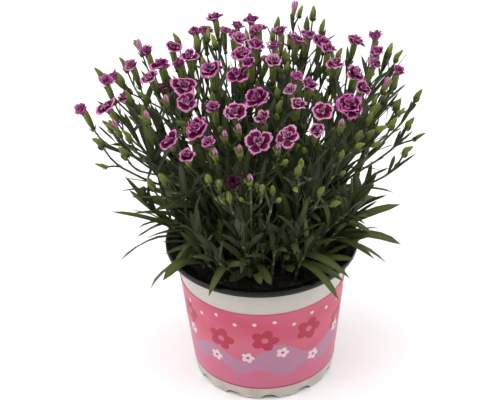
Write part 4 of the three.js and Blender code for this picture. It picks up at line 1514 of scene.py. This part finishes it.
def plastic_look(name, colour, grime, roughness, coarse=90, gloss=0.5):
    """Moulded plastic: faint mottling, fine scratches and a little dirt low down."""
    look = Look(name, Roughness=roughness, Specular_IOR_Level=gloss)
    at = look.at()
    cloud = look.noise(at, coarse, 4.0)
    height = look.node("SeparateXYZ", {0: at}).outputs[2]
    low = look.times(look.ramp(height, 0.0, GRIME_TOP, 1, 0.15), look.ramp(cloud, 0.35, 0.75))
    scratch = look.drawn_out(at, SCRATCHES)
    shade = look.plus(look.times(low, 0.5), look.ramp(scratch, 0.55, 0.8, 0, 0.1))
    look.set(Base_Color=look.blend(shade, colour, grime))
    worn = look.ramp(scratch, 0.3, 0.8, roughness, roughness + 0.08)
    look.set(Roughness=look.plus(look.ramp(cloud, 0.3, 0.7, 0, 0.1), worn))
    look.bumps(look.noise(at, 1400.0, 2.0), 0.00004, 0.4)
    return look.material


BAND_LOW = 10.3
BAND_HIGH = 78
BAND_MIDDLE_RADIUS = 52.5
CLOUD_SCALE = 26.0


def label_look(hues):
    """The printed band: rose pink with rounded lilac hills, five-petalled blossoms and dots."""
    look = Look("Printed band", Roughness=0.4)
    at = look.at()
    x, y, z = look.node("SeparateXYZ", {0: at}).outputs
    around = look.sums("ARCTAN2", x, look.times(y, -1.0))
    up = look.node("MapRange", {"Value": z, "From Min": BAND_LOW * MM, "From Max": BAND_HIGH * MM}).outputs[0]
    cloud = look.drawn_out(at, (CLOUD_SCALE, CLOUD_SCALE, 1.6 * CLOUD_SCALE))
    base = look.tint(hues.band_low, hues.band_high, up, 0.0, 1.0)
    base = look.tint(base, hues.band_light, cloud, 0.35, 0.7, 0.3)

    def hills(base, colour, level, swing, waves, shift):
        """Rounded hills across the lower part of the band."""
        wave = look.sums("SINE", look.plus(look.times(around, waves), shift))
        wide = look.sums("SINE", look.plus(look.times(around, 3.0), 2 * shift))
        top = look.plus(look.times(wave, swing), look.times(wide, 0.6 * swing))
        return look.tint(base, colour, look.minus(look.plus(top, level), up), -0.006, 0.006)

    def blossoms(base, colour, middle, count, level, sway, size):
        """A row of blossoms round the band, of a size in mm, each a little higher or lower than the next."""
        place = look.plus(look.times(around, count / math.tau), 0.5 * (1 - count % 2))
        index = look.sums("ROUND", place)
        across = look.times(look.minus(place, index), math.tau * BAND_MIDDLE_RADIUS / count)
        bob = look.times(look.sums("SINE", look.times(index, 2.4)), sway)
        above = look.times(look.minus(up, look.plus(bob, level)), float(BAND_HIGH - BAND_LOW))
        spot = look.node("CombineXYZ", {0: across, 1: above}).outputs[0]
        out = look.node("VectorMath", {0: spot}, operation="LENGTH").outputs["Value"]
        lobe = look.plus(look.sums("ARCTAN2", above, across), look.times(index, 1.3))
        lobe = look.sums("ABSOLUTE", look.sums("COSINE", look.times(lobe, 2.5)))
        edge = look.plus(look.times(lobe, 0.36 * size), 0.64 * size)
        base = look.tint(base, colour, look.minus(edge, out), -0.15, 0.15)
        return look.tint(base, middle, out, 0.28 * size, 0.2 * size)

    base = hills(base, hues.band_lilac, 0.46, 0.08, 7, 0.4)
    base = hills(base, hues.band_rose, 0.24, 0.05, 10, 2.1)
    base = blossoms(base, hues.band_crimson, hues.band_rose, 11, 0.66, 0.07, 9.5)
    base = blossoms(base, hues.band_pale, hues.band_crimson, 14, 0.42, 0.09, 4.6)
    base = blossoms(base, hues.band_pale, hues.band_pale, 26, 0.87, 0.04, 1.5)
    look.set(Base_Color=look.tint(base, hues.band_crimson, up, 0.022, 0.012))
    look.set(Roughness=look.ramp(look.noise(at, 60.0), 0.3, 0.7, 0.34, 0.46))
    look.bumps(look.noise(at, 2500.0, 1.0), 0.00002, 0.3)
    return look.material


def mix_look(hues):
    """Damp peat: dark clods, lighter fibres and specks."""
    look = Look("Potting mix", Roughness=0.95)
    at = look.at()
    clod, fleck = look.noise(at, 260.0, 6.0), look.noise(at, 1500.0, 2.0)
    base = look.tint(hues.peat_dark, hues.peat, clod, 0.35, 0.7)
    base = look.tint(base, hues.peat_fibre, look.drawn_out(at, (300.0, 1900.0, 900.0)), 0.62, 0.72, 0.7)
    look.set(Base_Color=look.tint(base, hues.peat_fibre, fleck, 0.7, 0.76, 0.5))
    look.bumps(look.plus(clod, look.times(fleck, 0.3)), 0.0025)
    return look.material


def crumb_look(hues):
    """Loose crumbs of peat, bark and fibre, most of them dark."""
    look = Look("Crumbs", Roughness=0.9)
    tone, grain = look.marks("part")[0], look.noise(look.at(), 900.0)
    base = look.tint(hues.peat_dark, hues.peat, tone, 0.2, 0.75)
    base = look.tint(base, hues.peat_fibre, tone, 0.8, 0.95)
    look.set(Base_Color=look.tint(base, hues.peat_dark, grain, 0.4, 0.75, 0.5))
    look.bumps(grain, 0.0006)
    return look.material


def leaf_look(hues):
    """Smooth waxy leaves with a paler midrib, fine veins along them and, on some, a dry tip, with painted
    shade towards the root.
    """
    look = Look("Leaf", Roughness=0.5, Specular_IOR_Level=0.12)
    across, along, top = look.marks("grain")
    tone, _, chance = look.marks("part")
    at = look.at()
    patch = look.noise(at, 55.0)
    mixed = look.plus(look.times(patch, 0.5), look.minus(tone, 0.25))
    base = look.tint(hues.leaf_dark, hues.leaf, mixed, 0.1, 0.9)
    base = look.tint(base, hues.leaf_under, top, 0.2, -0.2, 0.35)
    vein = look.ramp(look.sums("SINE", look.times(across, 26.0)), 0.2, 1.0, 0, 0.16)
    rib = look.ramp(look.sums("ABSOLUTE", across), 0.2, 0.04, 0, 0.45)
    base = look.blend(look.sums("MAXIMUM", vein, rib), base, hues.leaf_rib)
    tip = look.times(look.ramp(along, 0.86, 1.0), look.ramp(chance, 0.6, 1.0, 0, 0.7))
    base = look.blend(tip, base, hues.leaf_tip)
    # painted shade: each leaf darkens towards its root, where it meets the stem inside the plant
    look.set(Base_Color=look.tint(base, hues.leaf_dark, along, 0.5, 0.05, 0.6))
    look.set(Roughness=look.ramp(patch, 0.3, 0.7, 0.42, 0.56))
    look.bumps(look.plus(vein, look.times(look.noise(at, 700.0), 0.4)), 0.0003, 0.5)
    return look.material


def stem_look(hues):
    """Stems with a waxy bloom, paler at the knots and streaked along their length."""
    look = Look("Stem", Roughness=0.5, Specular_IOR_Level=0.25)
    tone, at = look.marks("part")[0], look.at()
    patch, streak = look.drawn_out(at, (90.0, 90.0, 30.0), 3.0), look.drawn_out(at, (1500.0, 1500.0, 90.0))
    base = look.tint(hues.leaf_dark, hues.stem, patch, 0.3, 0.75)
    base = look.tint(base, hues.leaf_rib, streak, 0.5, 0.75, 0.4)
    look.set(Base_Color=look.tint(base, hues.stem_knot, tone, 0.3, 1.0, 0.75))
    look.bumps(streak, 0.0002, 0.5)
    return look.material


def calyx_look(hues):
    """Calyxes and buds: darker at the foot, yellow-green above, fine ribs, and a pale rim where they open."""
    look = Look("Calyx", Roughness=0.5, Specular_IOR_Level=0.16)
    around, along, _ = look.marks("grain")
    tone, patch = look.marks("part")[0], look.noise(look.at(), 260.0)
    base = look.tint(hues.calyx_foot, hues.calyx, along, 0.04, 0.86)
    base = look.tint(base, hues.bud, tone, 0.3, 1.0, 0.7)
    base = look.tint(base, hues.calyx_rim, along, 0.82, 1.05, 0.5)
    rib = look.sums("SINE", look.times(around, 30.0 * math.pi))
    base = look.tint(base, hues.calyx_foot, rib, 0.0, 1.0, 0.26)
    seam = look.ramp(look.sums("COSINE", look.times(around, 5.0 * math.pi)), -0.75, -1.0, 0, 0.6)
    base = look.blend(look.times(seam, look.ramp(along, 0.3, 0.7)), base, hues.calyx_foot)
    look.set(Base_Color=look.tint(base, hues.calyx_foot, patch, 0.5, 0.8, 0.3))
    look.bumps(look.plus(rib, patch), 0.00012, 0.5)
    return look.material


# The dark eye of a petal: its middle along the petal, its half width and half length, and how square it is.
EYE_MIDDLE = 0.66
EYE_HALF = (0.8, 0.235)
EYE_SQUARE = 2.6


def petal_look(hues):
    """Petals: a dark eye in a magenta or pale margin, a lilac throat, fine streaks and paler backs."""
    look = Look("Petal", Roughness=0.65, Specular_IOR_Level=0.05)
    across, along, top = look.marks("grain")
    pale, kind, _ = look.marks("part")
    cloud, aside = look.noise(look.at(), 520.0), look.sums("ABSOLUTE", across)

    # the margin and its streaks
    margin = look.blend(pale, hues.petal, hues.petal_pale)
    margin = look.tint(margin, hues.petal_deep, cloud, 0.35, 0.7, 0.3)
    streak = look.sums("SINE", look.plus(look.times(across, 34.0), look.times(cloud, 4.0)))
    margin = look.tint(margin, hues.petal_pale, streak, 0.1, 1.0, 0.2)
    rim = look.sums("MAXIMUM", look.ramp(aside, 0.78, 0.96), look.ramp(along, 0.9, 0.99))
    rim = look.times(rim, look.ramp(pale, 0.0, 1.0, 0.36, 0.75))
    margin = look.blend(rim, margin, hues.petal_pale)

    # the eye, with an uneven edge, fainter on inner petals
    eye = look.plus(look.ramp(along, 0.55, 0.95, 0, 0.5), look.times(pale, 0.7))
    eye = look.blend(eye, hues.eye, hues.eye_light)
    wide = look.sums("POWER", look.sums("DIVIDE", aside, EYE_HALF[0]), EYE_SQUARE)
    high = look.sums("ABSOLUTE", look.sums("DIVIDE", look.minus(along, EYE_MIDDLE), EYE_HALF[1]))
    ring = look.plus(wide, look.sums("POWER", high, EYE_SQUARE))
    ring = look.plus(ring, look.times(look.minus(cloud, 0.5), 1.5))
    ring = look.plus(ring, look.times(kind, 0.25))
    patch = look.times(look.ramp(ring, 1.15, 0.8), look.ramp(kind, 0.8, 2.2, 1, 0.25))
    base = look.blend(patch, margin, eye)
    base = look.tint(base, hues.throat, along, 0.54, 0.42, 0.8)
    base = look.tint(base, hues.petal_inner, kind, 0.2, 1.0, 0.3)

    # furled buds, with painted shade in their folds and painted highlight on their ridges, the backs, the
    # rim's own thickness and faded flowers
    # painted light: furled tips are deep magenta in the folds (painted shade) and pale on the ridges (painted
    # highlight)
    fold = look.sums("COSINE", look.times(across, 5 * math.pi))
    furled = look.tint(hues.petal_deep, hues.petal_pale, fold, 0.6, -0.9)
    furled = look.tint(furled, hues.petal_back, along, 0.9, 0.5, 0.6)
    base = look.tint(base, furled, kind, 2.2, 2.9)
    back = look.tint(hues.throat, hues.petal_back, along, 0.4, 0.72)
    back = look.tint(back, hues.eye_light, kind, 0.2, 1.0, 0.7)
    base = look.tint(base, back, top, 0.2, -0.2, 0.75)
    base = look.blend(look.times(rim, 0.5), base, hues.petal_pale)
    look.set(Base_Color=look.tint(base, hues.eye, pale, -0.2, -0.8, 0.93))
    look.bumps(streak, 0.0001, 0.4)
    return look.material


# ---------- sizes and colours that can be set ----------
def named(kind, description, **settings):
    """A value that is named by the first words of its description."""
    return kind(name=description.split(",")[0].capitalize(), description=description, **settings)


def metres(description, default):
    """A length in metres."""
    return named(FloatProperty, description, default=default, min=0, precision=4, unit="LENGTH")


def watts(description, default):
    """The power of a light."""
    return named(FloatProperty, description, default=default, min=0, unit="POWER")


def colour(description, code):
    """A colour that can be picked."""
    return named(FloatVectorProperty, description, default=hue(code), min=0, max=1, subtype="COLOR")


class DianthusPot(bpy.types.PropertyGroup):
    """Sizes of the pot, the liner and the band."""

    base_radius: metres("base radius, outside of the white wall at the floor", 0.0478)
    top_radius: metres("top radius, outside of the white wall under the rim", 0.05818)
    top: metres("top, height of the white wall", 0.0974)
    wall: metres("wall, thickness of the white wall", 0.0011)
    foot_height: metres("foot height, height of the gaps between the feet", 0.0036)
    floor_low: metres("floor, height of the underside of the floor", 0.0044)
    floor_thick: metres("floor thickness, thickness of the floor", 0.0014)
    stand_radius: metres("stand radius, disc in the middle of the floor", 0.009)
    drain_radius: metres("drain radius, radius of a drain hole", 0.004)
    drain_ring: metres("drain ring, distance of the drain holes from the middle", 0.03)
    rim_radius: metres("rim radius, outside of the liner's rolled rim", 0.065)
    rim_top: metres("rim top, height of the liner's rim", 0.102)
    rim_under: metres("rim underside, lowest height of the liner's rim", 0.099)
    liner_wall: metres("liner wall, thickness of the liner", 0.001)
    gap: metres("gap, clearance between pieces", 0.0003)
    band_thick: metres("band thickness, thickness of the printed band", 0.0004)
    feet: named(IntProperty, "feet, number round the lower edge", default=12, min=3)
    drains: named(IntProperty, "drains, number of drain holes in the floor", default=6, min=1)


class DianthusMix(bpy.types.PropertyGroup):
    """Sizes of the potting mix."""

    crumbs: named(IntProperty, "crumbs, number of loose crumbs on the mix", default=1700, min=0)
    crumb_least: metres("least crumb, radius of the smallest crumb", 0.0005)
    crumb_most: metres("largest crumb, radius of the largest crumb", 0.0026)
    rough: metres("roughness, height of the lumps", 0.0022)


class DianthusFinishes(bpy.types.PropertyGroup):
    """Colours."""

    white: colour("white plastic", "#BDB6AD")
    white_grime: colour("dirt on the white plastic", "#8F8377")
    black: colour("black plastic", "#0B0B0C")
    black_dust: colour("dust on the black plastic", "#1B1916")
    band_low: colour("band at its lower edge", "#BC536F")
    band_high: colour("band at its upper edge", "#BA3D5B")
    band_light: colour("lighter clouds in the band", "#CB7588")
    band_lilac: colour("lilac hills", "#A6708C")
    band_rose: colour("rose hills", "#BC5C7B")
    band_crimson: colour("crimson blossoms", "#A31134")
    band_pale: colour("pale blossoms", "#D2BDC3")
    peat: colour("peat", "#1A130F")
    peat_dark: colour("dark peat", "#0B0806")
    peat_fibre: colour("fibres and bark", "#78532F")
    leaf: colour("light leaf", "#566130")
    leaf_dark: colour("dark leaf", "#2F3625")
    leaf_under: colour("underside of a leaf", "#404A35")
    leaf_rib: colour("midrib and veins", "#667042")
    leaf_tip: colour("dry leaf tip", "#817A44")
    stem: colour("stem", "#444D2E")
    stem_knot: colour("knot of a stem", "#6F7B4C")
    calyx: colour("calyx", "#6A7634")
    calyx_foot: colour("foot of a calyx", "#28301C")
    calyx_rim: colour("rim of a calyx", "#A3A774")
    bud: colour("bud", "#838B3C")
    petal: colour("petal margin", "#AC3E8D")
    petal_pale: colour("pale petal margin", "#C9A4B5")
    petal_deep: colour("deep petal margin", "#8F3474")
    petal_inner: colour("inner petals", "#9C4A86")
    petal_back: colour("back of a petal", "#B8589B")
    eye: colour("dark eye of a petal", "#220312")
    eye_light: colour("edge of the eye", "#68143E")
    throat: colour("throat", "#A8769A")
    floor: colour("studio floor", "#FAFAFA")


class DianthusStage(bpy.types.PropertyGroup):
    """The studio."""

    floor_size: metres("floor size, side of the studio floor", 6)
    world: named(FloatProperty, "world, strength of the surrounding light", default=0.27, min=0)
    key: watts("key, power of the large light overhead", 33)
    left_side: watts("left side, power of the light on the left", 12)
    right_side: watts("right side, power of the light on the right", 11)


GROUPS = {
    "dianthus_pot": DianthusPot,
    "dianthus_mix": DianthusMix,
    "dianthus_finishes": DianthusFinishes,
    "dianthus_stage": DianthusStage,
}


# ---------- pieces ----------
POT_SIDES = 288
FOOT_PHASE = math.radians(-87.5)
# How high the lower edge stands, as a share of the gap's height, from the middle of a gap to that of a foot.
GAP_EDGE = (1, 1, 0.98, 0.93, 0.8, 0.45, 0.12, 0, 0, 0.08, 0.22, 0.3, 0.32)
WALL_RINGS = (0.06, 0.2, 0.5, 0.8)
DRILL_SIDES = 32
DRILL_DEPTH = 0.012
# The rounded corner inside the pot, and the liner's outer one: (mm inward, mm up).
POT_CORNER = ((0, 2), (1, 0.3), (3, 0))
LINER_CORNER = ((2, 0), (0, 1.5))
# The liner's rolled rim, from its outside over its top to its inside: (mm inward, mm below its top).
RIM_ROLL = ((0, 1), (0.3, 0.4), (1.2, 0), (2.2, 0), (2.9, 0.4))


def wall_radius(sizes, height):
    """The outside of the white wall at a height."""
    return sizes.base_radius + (sizes.top_radius - sizes.base_radius) * height / sizes.top


def drill(obj, sizes, depth):
    """Cuts the drain holes through the floor of a piece."""
    for i in range(sizes.drains):
        x, y, _ = toward(360 * i / sizes.drains) * sizes.drain_ring
        take_up()
        bpy.ops.mesh.primitive_cylinder_add(
            vertices=DRILL_SIDES, radius=sizes.drain_radius, depth=DRILL_DEPTH, location=(x, y, depth)
        )
        cutter = bpy.context.active_object
        apply_modifier(obj, "BOOLEAN", object=cutter, operation="DIFFERENCE", solver="EXACT")
        bpy.data.objects.remove(cutter)
    edit()
    bpy.ops.mesh.select_all(action="SELECT")
    bpy.ops.mesh.dissolve_degenerate(threshold=1e-6)
    edit("OBJECT")


def shape_feet(sizes):
    """In edit mode, raises the lower edge of the wall between the feet."""
    per_foot = POT_SIDES // sizes.feet

    def column(at):
        steps = (math.atan2(at.y, at.x) - FOOT_PHASE) / math.tau * POT_SIDES
        return abs((round(steps) + per_foot // 2) % per_foot - per_foot // 2)

    for step, share in enumerate(GAP_EDGE):
        if share:
            pick(lambda at, _: at.z < 1e-6 and at.xy.length > 2 * sizes.stand_radius and column(at) == step)
            shift(z=share * sizes.foot_height)


def white_pot(sizes, hues):
    """The white shell: wall, feet, floor, standing disc and drain holes."""
    low, top, stand = sizes.floor_low, sizes.top, sizes.stand_radius
    floor_top, round_off = low + sizes.floor_thick, 0.3 * sizes.wall

    outer = functools.partial(wall_radius, sizes)

    def inner(height):
        return outer(height) - sizes.wall

    profile = [
        (0, 0), (stand - round_off, 0), (stand, round_off), (stand, low), (inner(low), low), (inner(0), 0),
        (outer(0), 0), *((outer(share * top), share * top) for share in WALL_RINGS),
        (outer(top), top - round_off), (outer(top) - round_off, top), (inner(top) + round_off, top),
        (inner(top), top - round_off),
    ]
    for inward, up in POT_CORNER:
        height = floor_top + up * MM
        profile.append((inner(floor_top if inward else height) - inward * MM, height))
    profile.append((0, floor_top))
    pot = turn(profile, POT_SIDES)
    edit()
    shape_feet(sizes)
    edit("OBJECT")
    drill(pot, sizes, low)
    smooth(pot, 35)
    pot.data.materials.append(plastic_look("White plastic", hues.white, hues.white_grime, 0.3))
    return place(pot, "white_pot", "pot_white", "pot")


def black_liner(sizes, hues):
    """The black inner pot with its rolled rim."""
    low = sizes.floor_low + sizes.floor_thick + sizes.gap
    rim, top, under, floor_top = sizes.rim_radius, sizes.rim_top, sizes.rim_under, low + sizes.liner_wall
    neck, middle = under - 0.001, 0.5 * top

    def outer(height):
        return wall_radius(sizes, height) - sizes.wall - sizes.gap

    def inner(height):
        return outer(height) - sizes.liner_wall

    profile = [
        (0, low), *((outer(low) - inward * MM, low + up * MM) for inward, up in LINER_CORNER),
        (outer(middle), middle), (outer(neck), neck),
        (rim - 0.0012, neck), (rim - 0.0004, neck + 0.0002), (rim, under),
    ]
    profile += [(rim - inward * MM, top - below * MM) for inward, below in RIM_ROLL]
    profile += [
        (inner(neck) + 0.0016, neck + 0.0016), (inner(neck), neck - 0.0006), (inner(middle), middle),
        (inner(floor_top), floor_top + 0.001), (inner(low) - 0.002, floor_top), (0, floor_top),
    ]
    liner = turn(profile, POT_SIDES // 2)
    drill(liner, sizes, low)
    smooth(liner, 40)
    look = plastic_look("Black plastic", hues.black, hues.black_dust, 0.22, coarse=45, gloss=0.25)
    liner.data.materials.append(look)
    return place(liner, "black_liner", "liner_black", "liner")


def printed_label(sizes, hues):
    """The printed band, a thin closed sheet round the wall."""
    low, high, thick = BAND_LOW * MM, BAND_HIGH * MM, sizes.band_thick
    low_skin, high_skin = (wall_radius(sizes, height) + 0.2 * sizes.gap for height in (low, high))
    outside = [(low_skin + thick, low), (high_skin + thick, high)]
    label = turn([(low_skin, low), *outside, (high_skin, high), (low_skin, low)], POT_SIDES)
    smooth(label, 35)
    label.data.materials.append(label_look(hues))
    return place(label, "printed_label", "band_print", "printed_band")


MIX_RINGS = 28
MIX_SIDES = 120
MIX_EDGE = 0.004  # the lumps ease out this near the liner


def lump_at(x, y):
    """How far a lump of the mix stands up, from about -1 to 1."""
    return noise.noise(Vector((x, y, 0)) * 0.16) + 0.6 * noise.noise(Vector((x, y, 9)) * 0.45)


def potting_mix(sizes, mix_sizes, hues):
    """The potting mix, lumpy on top, with loose crumbs."""
    low, level = sizes.floor_low + sizes.floor_thick + 2 * sizes.gap + sizes.liner_wall, SOIL_LEVEL * MM
    bed, edge = (
        wall_radius(sizes, height) - sizes.wall - sizes.liner_wall - 2 * sizes.gap for height in (low, level)
    )
    rings = [(edge * ring / MIX_RINGS, level) for ring in range(MIX_RINGS, -1, -1)]
    body = turn([(0, low), (bed - 0.001, low), *rings], MIX_SIDES)
    for point in body.data.vertices:
        if point.co.z > level - 1e-4:
            x, y = point.co.x / MM, point.co.y / MM
            ease = min(1, (edge - point.co.xy.length) / MIX_EDGE)
            rise = soil_height(x, y) * MM + mix_sizes.rough * lump_at(x, y)
            point.co.z = (SOIL_LEVEL - 1) * MM * (1 - ease) + rise * ease
    body.data.materials.append(mix_look(hues))
    smooth(body, 180)
    draw, crumbs, crumb = Draws(SEED + 2), Growth(), crumb_shape()
    for _ in range(mix_sizes.crumbs):
        out, around = math.sqrt(draw()) * (edge / MM - 2), draw.between(0, math.tau)
        x, y = out * math.cos(around), out * math.sin(around)
        size = draw.between(mix_sizes.crumb_least, mix_sizes.crumb_most) * draw.between(0.4, 1) / MM
        spin = Matrix.LocRotScale(
            Vector((x, y, soil_height(x, y) + mix_sizes.rough / MM * lump_at(x, y))),
            Vector((draw(), draw(), draw() + 0.1)).to_track_quat("Z", "Y"),
            Vector((size * draw.between(1, 1.9), size, size * draw.between(0.4, 0.9))),
        )
        crumbs.add(crumb, crumb.points @ np.array(spin.to_3x3()).T + np.array(spin.translation), 0, draw())
    take_up(crumbs.build("crumbs", [crumb_look(hues)]), body)
    bpy.ops.object.join()
    return place(body, "potting_mix", "potting_mix", "soil")


def add_back_heads(heads, shoots, air, draw):
    """Gives each head that was added at the back a stem from the shoot of its part of the crown."""
    for head in back_heads(heads, draw):
        shoot = nearest_in_crown(shoots, head.at)
        start = fork_near(shoot.stems[0], head.base[2] - BACK_FORK)
        curve = lay_stem(start, fork_way(start, head), head, np.zeros(3))
        shoot.stems.append(Stem(curve, head, False))
        air.take(*balls_on_head(head), 0, head)


def grow_shoot(growth, small, shoot, own, draw):
    """A shoot with its foot, stems, calyxes, buds and leaves. The small blooms take its smaller flowers."""
    foot = shoot.stems[0].curve[0]
    root = [foot - UP * ROOT_DEPTH, foot - UP * 3, foot - UP, foot + UP]
    grow_stem(growth, root, [], FOOT_RADIUS, FOOT_RADIUS * 0.8, draw)
    for stem in shoot.stems:
        thick = FOOT_RADIUS * 0.7 if stem.main else STEM_RADIUS * 0.78
        grow_stem(growth, stem.curve, bends_of(stem.main), thick, NECK_RADIUS * 0.68, draw)
        (grow_calyx if stem.head.open else grow_bud)(growth, stem.head, draw)
        if stem.head.open and stem.head not in own:
            grow_flower(small, stem.head, draw)
        elif stem.head.key in COLOURED:
            grow_tip(small, stem.head, draw)
    for leaf in shoot.leaves:
        grow_leaf(growth, leaf, draw, leaf_tone(leaf.points[0], draw))


def grow_side_buds(growth, small, shoot, air, draw):
    """Small buds and flowers beside some of a shoot's heads."""
    for stem in shoot.stems:
        extra = side_bud(stem, air, draw) if draw() < SIDE_BUDS else None
        if not extra:
            continue
        grow_stem(growth, extra.curve, [], NECK_RADIUS * 0.75, NECK_RADIUS * 0.7, draw)
        if extra.head.open:
            grow_calyx(growth, extra.head, draw)
            grow_flower(small, extra.head, draw)
        else:
            grow_bud(growth, extra.head, draw, draw.between(0.62, 0.92))


def leafy_shoots(hues):
    """Every shoot with its stems, leaves, calyxes and buds, and the smaller flowers."""
    heads, own, shoots = plant_layout()
    draw, air = Draws(SEED + 1), Air()
    looks, petals = [leaf_look(hues), stem_look(hues), calyx_look(hues)], petal_look(hues)
    for head in heads:
        if head.grown:
            air.take(*balls_on_head(head), 0, head)
            if head.open:
                air.take(*balls_on_petals(head), 0, head)
    growths, small = [Growth() for _ in shoots], Growth()
    add_back_heads(heads, shoots, air, draw)
    for shoot, growth in zip(shoots, growths):
        grow_shoot(growth, small, shoot, own, draw)
    for shoot, growth in zip(shoots, growths):
        grow_side_buds(growth, small, shoot, air, draw)
    for shoot, growth in zip(shoots, growths):
        for stem in shoot.stems:
            fill_stem(growth, stem, air, draw)
    grow_low_leaves(growths, shoots, air, draw)
    grow_front_leaves(growths, shoots, draw)
    for k in range(LEAFY_SHOOTS):
        x, y, _ = shoot_pattern(k, LEAFY_SHOOTS) * LEAFY_SPREAD
        grow_leafy_shoot(growths[nearest_foot(shoots, (x, y)).k], x, y, air, draw)
    for shoot, growth in zip(shoots, growths):
        number = f"shoot_{shoot.k + 1:02d}"
        place(growth.build(number, looks), f"{number}_greens", "green_growth", number)
    place(small.build("small_blooms", [petals]), "small_blooms", "petals")


def open_blooms(hues):
    """The petals of each of the larger flowers."""
    _, own, _ = plant_layout()
    draw, petals = Draws(SEED + 3), petal_look(hues)
    for i, head in enumerate(own):
        if head.grown:
            growth, number = Growth(), f"bloom_{i + 1:02d}"
            grow_flower(growth, head, draw)
            place(growth.build(number, [petals]), f"{number}_petals", "petals", number)


LENS = 119.8
VIEW_END = 20  # the camera sees this far, in metres
LAMPS_AIM = Vector((0, 0, 0.12))


def studio(stage, hues):
    """The floor, the lights, the surroundings and the camera."""
    take_up()
    bpy.ops.mesh.primitive_plane_add(size=stage.floor_size, location=(0, 0, 0))
    floor = bpy.context.active_object
    floor.name = floor.data.name = "studio_floor"
    look = Look("Studio floor", Base_Color=hues.floor, Roughness=0.9, Specular_IOR_Level=0.1)
    floor.data.materials.append(look.material)
    scene = bpy.context.scene
    world = bpy.data.worlds.new("Studio")
    world.use_nodes = True
    background = next(node for node in world.node_tree.nodes if node.type == "BACKGROUND")
    background.inputs["Color"].default_value = (1, 1, 1, 1)
    background.inputs["Strength"].default_value = stage.world
    scene.world = world
    for name, size, power, at in (
        ("Overhead", 2.6, stage.key, (-0.1, 0, 1.3)),
        ("Left side", 1.6, stage.left_side, (-1.3, -0.15, 0.7)),
        ("Right side", 1.6, stage.right_side, (1.3, -0.15, 0.7)),
    ):
        bpy.ops.object.light_add(type="AREA", location=at)
        lamp = bpy.context.active_object
        lamp.name = lamp.data.name = name
        lamp.data.size, lamp.data.energy = size, power
        lamp.rotation_euler = (Vector(at) - LAMPS_AIM).to_track_quat("Z", "Y").to_euler()
    camera_data = bpy.data.cameras.new("Camera")
    camera_data.lens, camera_data.clip_end = LENS, VIEW_END
    camera = bpy.data.objects.new("Camera", camera_data)
    scene.collection.objects.link(camera)
    c, s = math.cos(SIGHT_ROLL), math.sin(SIGHT_ROLL)
    right, up, back = Vector((1, 0, 0)), Vector(SIGHT_UP), Vector(TO_EYE)
    axes = Matrix((c * right + s * up, c * up - s * right, back)).transposed()
    camera.matrix_world = Matrix.Translation(Vector(EYE * MM)) @ axes.to_4x4()
    scene.camera = camera
    scene.view_settings.view_transform = "Standard"


# ---------- operators and panel ----------
UNDOABLE = {"REGISTER", "UNDO"}


class MakeWhitePot(bpy.types.Operator):
    """Makes the white pot"""

    bl_idname = "dianthus.white_pot"
    bl_label = "White pot"
    bl_options = UNDOABLE

    def execute(self, context):
        white_pot(context.scene.dianthus_pot, context.scene.dianthus_finishes)
        return {"FINISHED"}


class MakeBlackLiner(bpy.types.Operator):
    """Makes the black liner"""

    bl_idname = "dianthus.black_liner"
    bl_label = "Black liner"
    bl_options = UNDOABLE

    def execute(self, context):
        black_liner(context.scene.dianthus_pot, context.scene.dianthus_finishes)
        return {"FINISHED"}


class MakePrintedLabel(bpy.types.Operator):
    """Makes the printed band"""

    bl_idname = "dianthus.printed_label"
    bl_label = "Printed band"
    bl_options = UNDOABLE

    def execute(self, context):
        printed_label(context.scene.dianthus_pot, context.scene.dianthus_finishes)
        return {"FINISHED"}


class MakePottingMix(bpy.types.Operator):
    """Makes the potting mix"""

    bl_idname = "dianthus.potting_mix"
    bl_label = "Potting mix"
    bl_options = UNDOABLE

    def execute(self, context):
        potting_mix(context.scene.dianthus_pot, context.scene.dianthus_mix, context.scene.dianthus_finishes)
        return {"FINISHED"}


class MakeLeafyShoots(bpy.types.Operator):
    """Makes the shoots with their leaves, buds and smaller flowers"""

    bl_idname = "dianthus.leafy_shoots"
    bl_label = "Leafy shoots"
    bl_options = UNDOABLE

    def execute(self, context):
        leafy_shoots(context.scene.dianthus_finishes)
        return {"FINISHED"}


class MakeOpenBlooms(bpy.types.Operator):
    """Makes the petals of the larger flowers"""

    bl_idname = "dianthus.open_blooms"
    bl_label = "Open blooms"
    bl_options = UNDOABLE

    def execute(self, context):
        open_blooms(context.scene.dianthus_finishes)
        return {"FINISHED"}


class MakeStudio(bpy.types.Operator):
    """Makes the floor, the lights and the camera"""

    bl_idname = "dianthus.studio"
    bl_label = "Studio"
    bl_options = UNDOABLE

    def execute(self, context):
        studio(context.scene.dianthus_stage, context.scene.dianthus_finishes)
        return {"FINISHED"}


OPERATORS = (
    MakeWhitePot, MakeBlackLiner, MakePrintedLabel, MakePottingMix, MakeLeafyShoots, MakeOpenBlooms,
    MakeStudio,
)


class DianthusPanel(bpy.types.Panel):
    """Lists the operators and the values they use"""

    bl_label = "Potted dianthus"
    bl_idname = "VIEW3D_PT_dianthus"
    bl_space_type = "VIEW_3D"
    bl_region_type = "UI"
    bl_category = "Dianthus"

    def draw(self, context):
        for operator in OPERATORS:
            self.layout.operator(operator.bl_idname)
        for name, group in GROUPS.items():
            box = self.layout.box()
            for key in group.__annotations__:
                box.prop(getattr(context.scene, name), key)


def register():
    """Registers the classes and the values."""
    for name, group in GROUPS.items():
        bpy.utils.register_class(group)
        setattr(bpy.types.Scene, name, PointerProperty(type=group))
    for made in (*OPERATORS, DianthusPanel):
        bpy.utils.register_class(made)


def unregister():
    """Takes the classes and the values away again."""
    for made in (DianthusPanel, *OPERATORS):
        bpy.utils.unregister_class(made)
    for name, group in GROUPS.items():
        delattr(bpy.types.Scene, name)
        bpy.utils.unregister_class(group)


def main():
    """Registers the classes, then makes every piece and the studio."""
    register()
    for operator in OPERATORS:
        family, name = operator.bl_idname.split(".")
        getattr(getattr(bpy.ops, family), name)()
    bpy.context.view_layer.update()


if __name__ == "__main__":
    main()
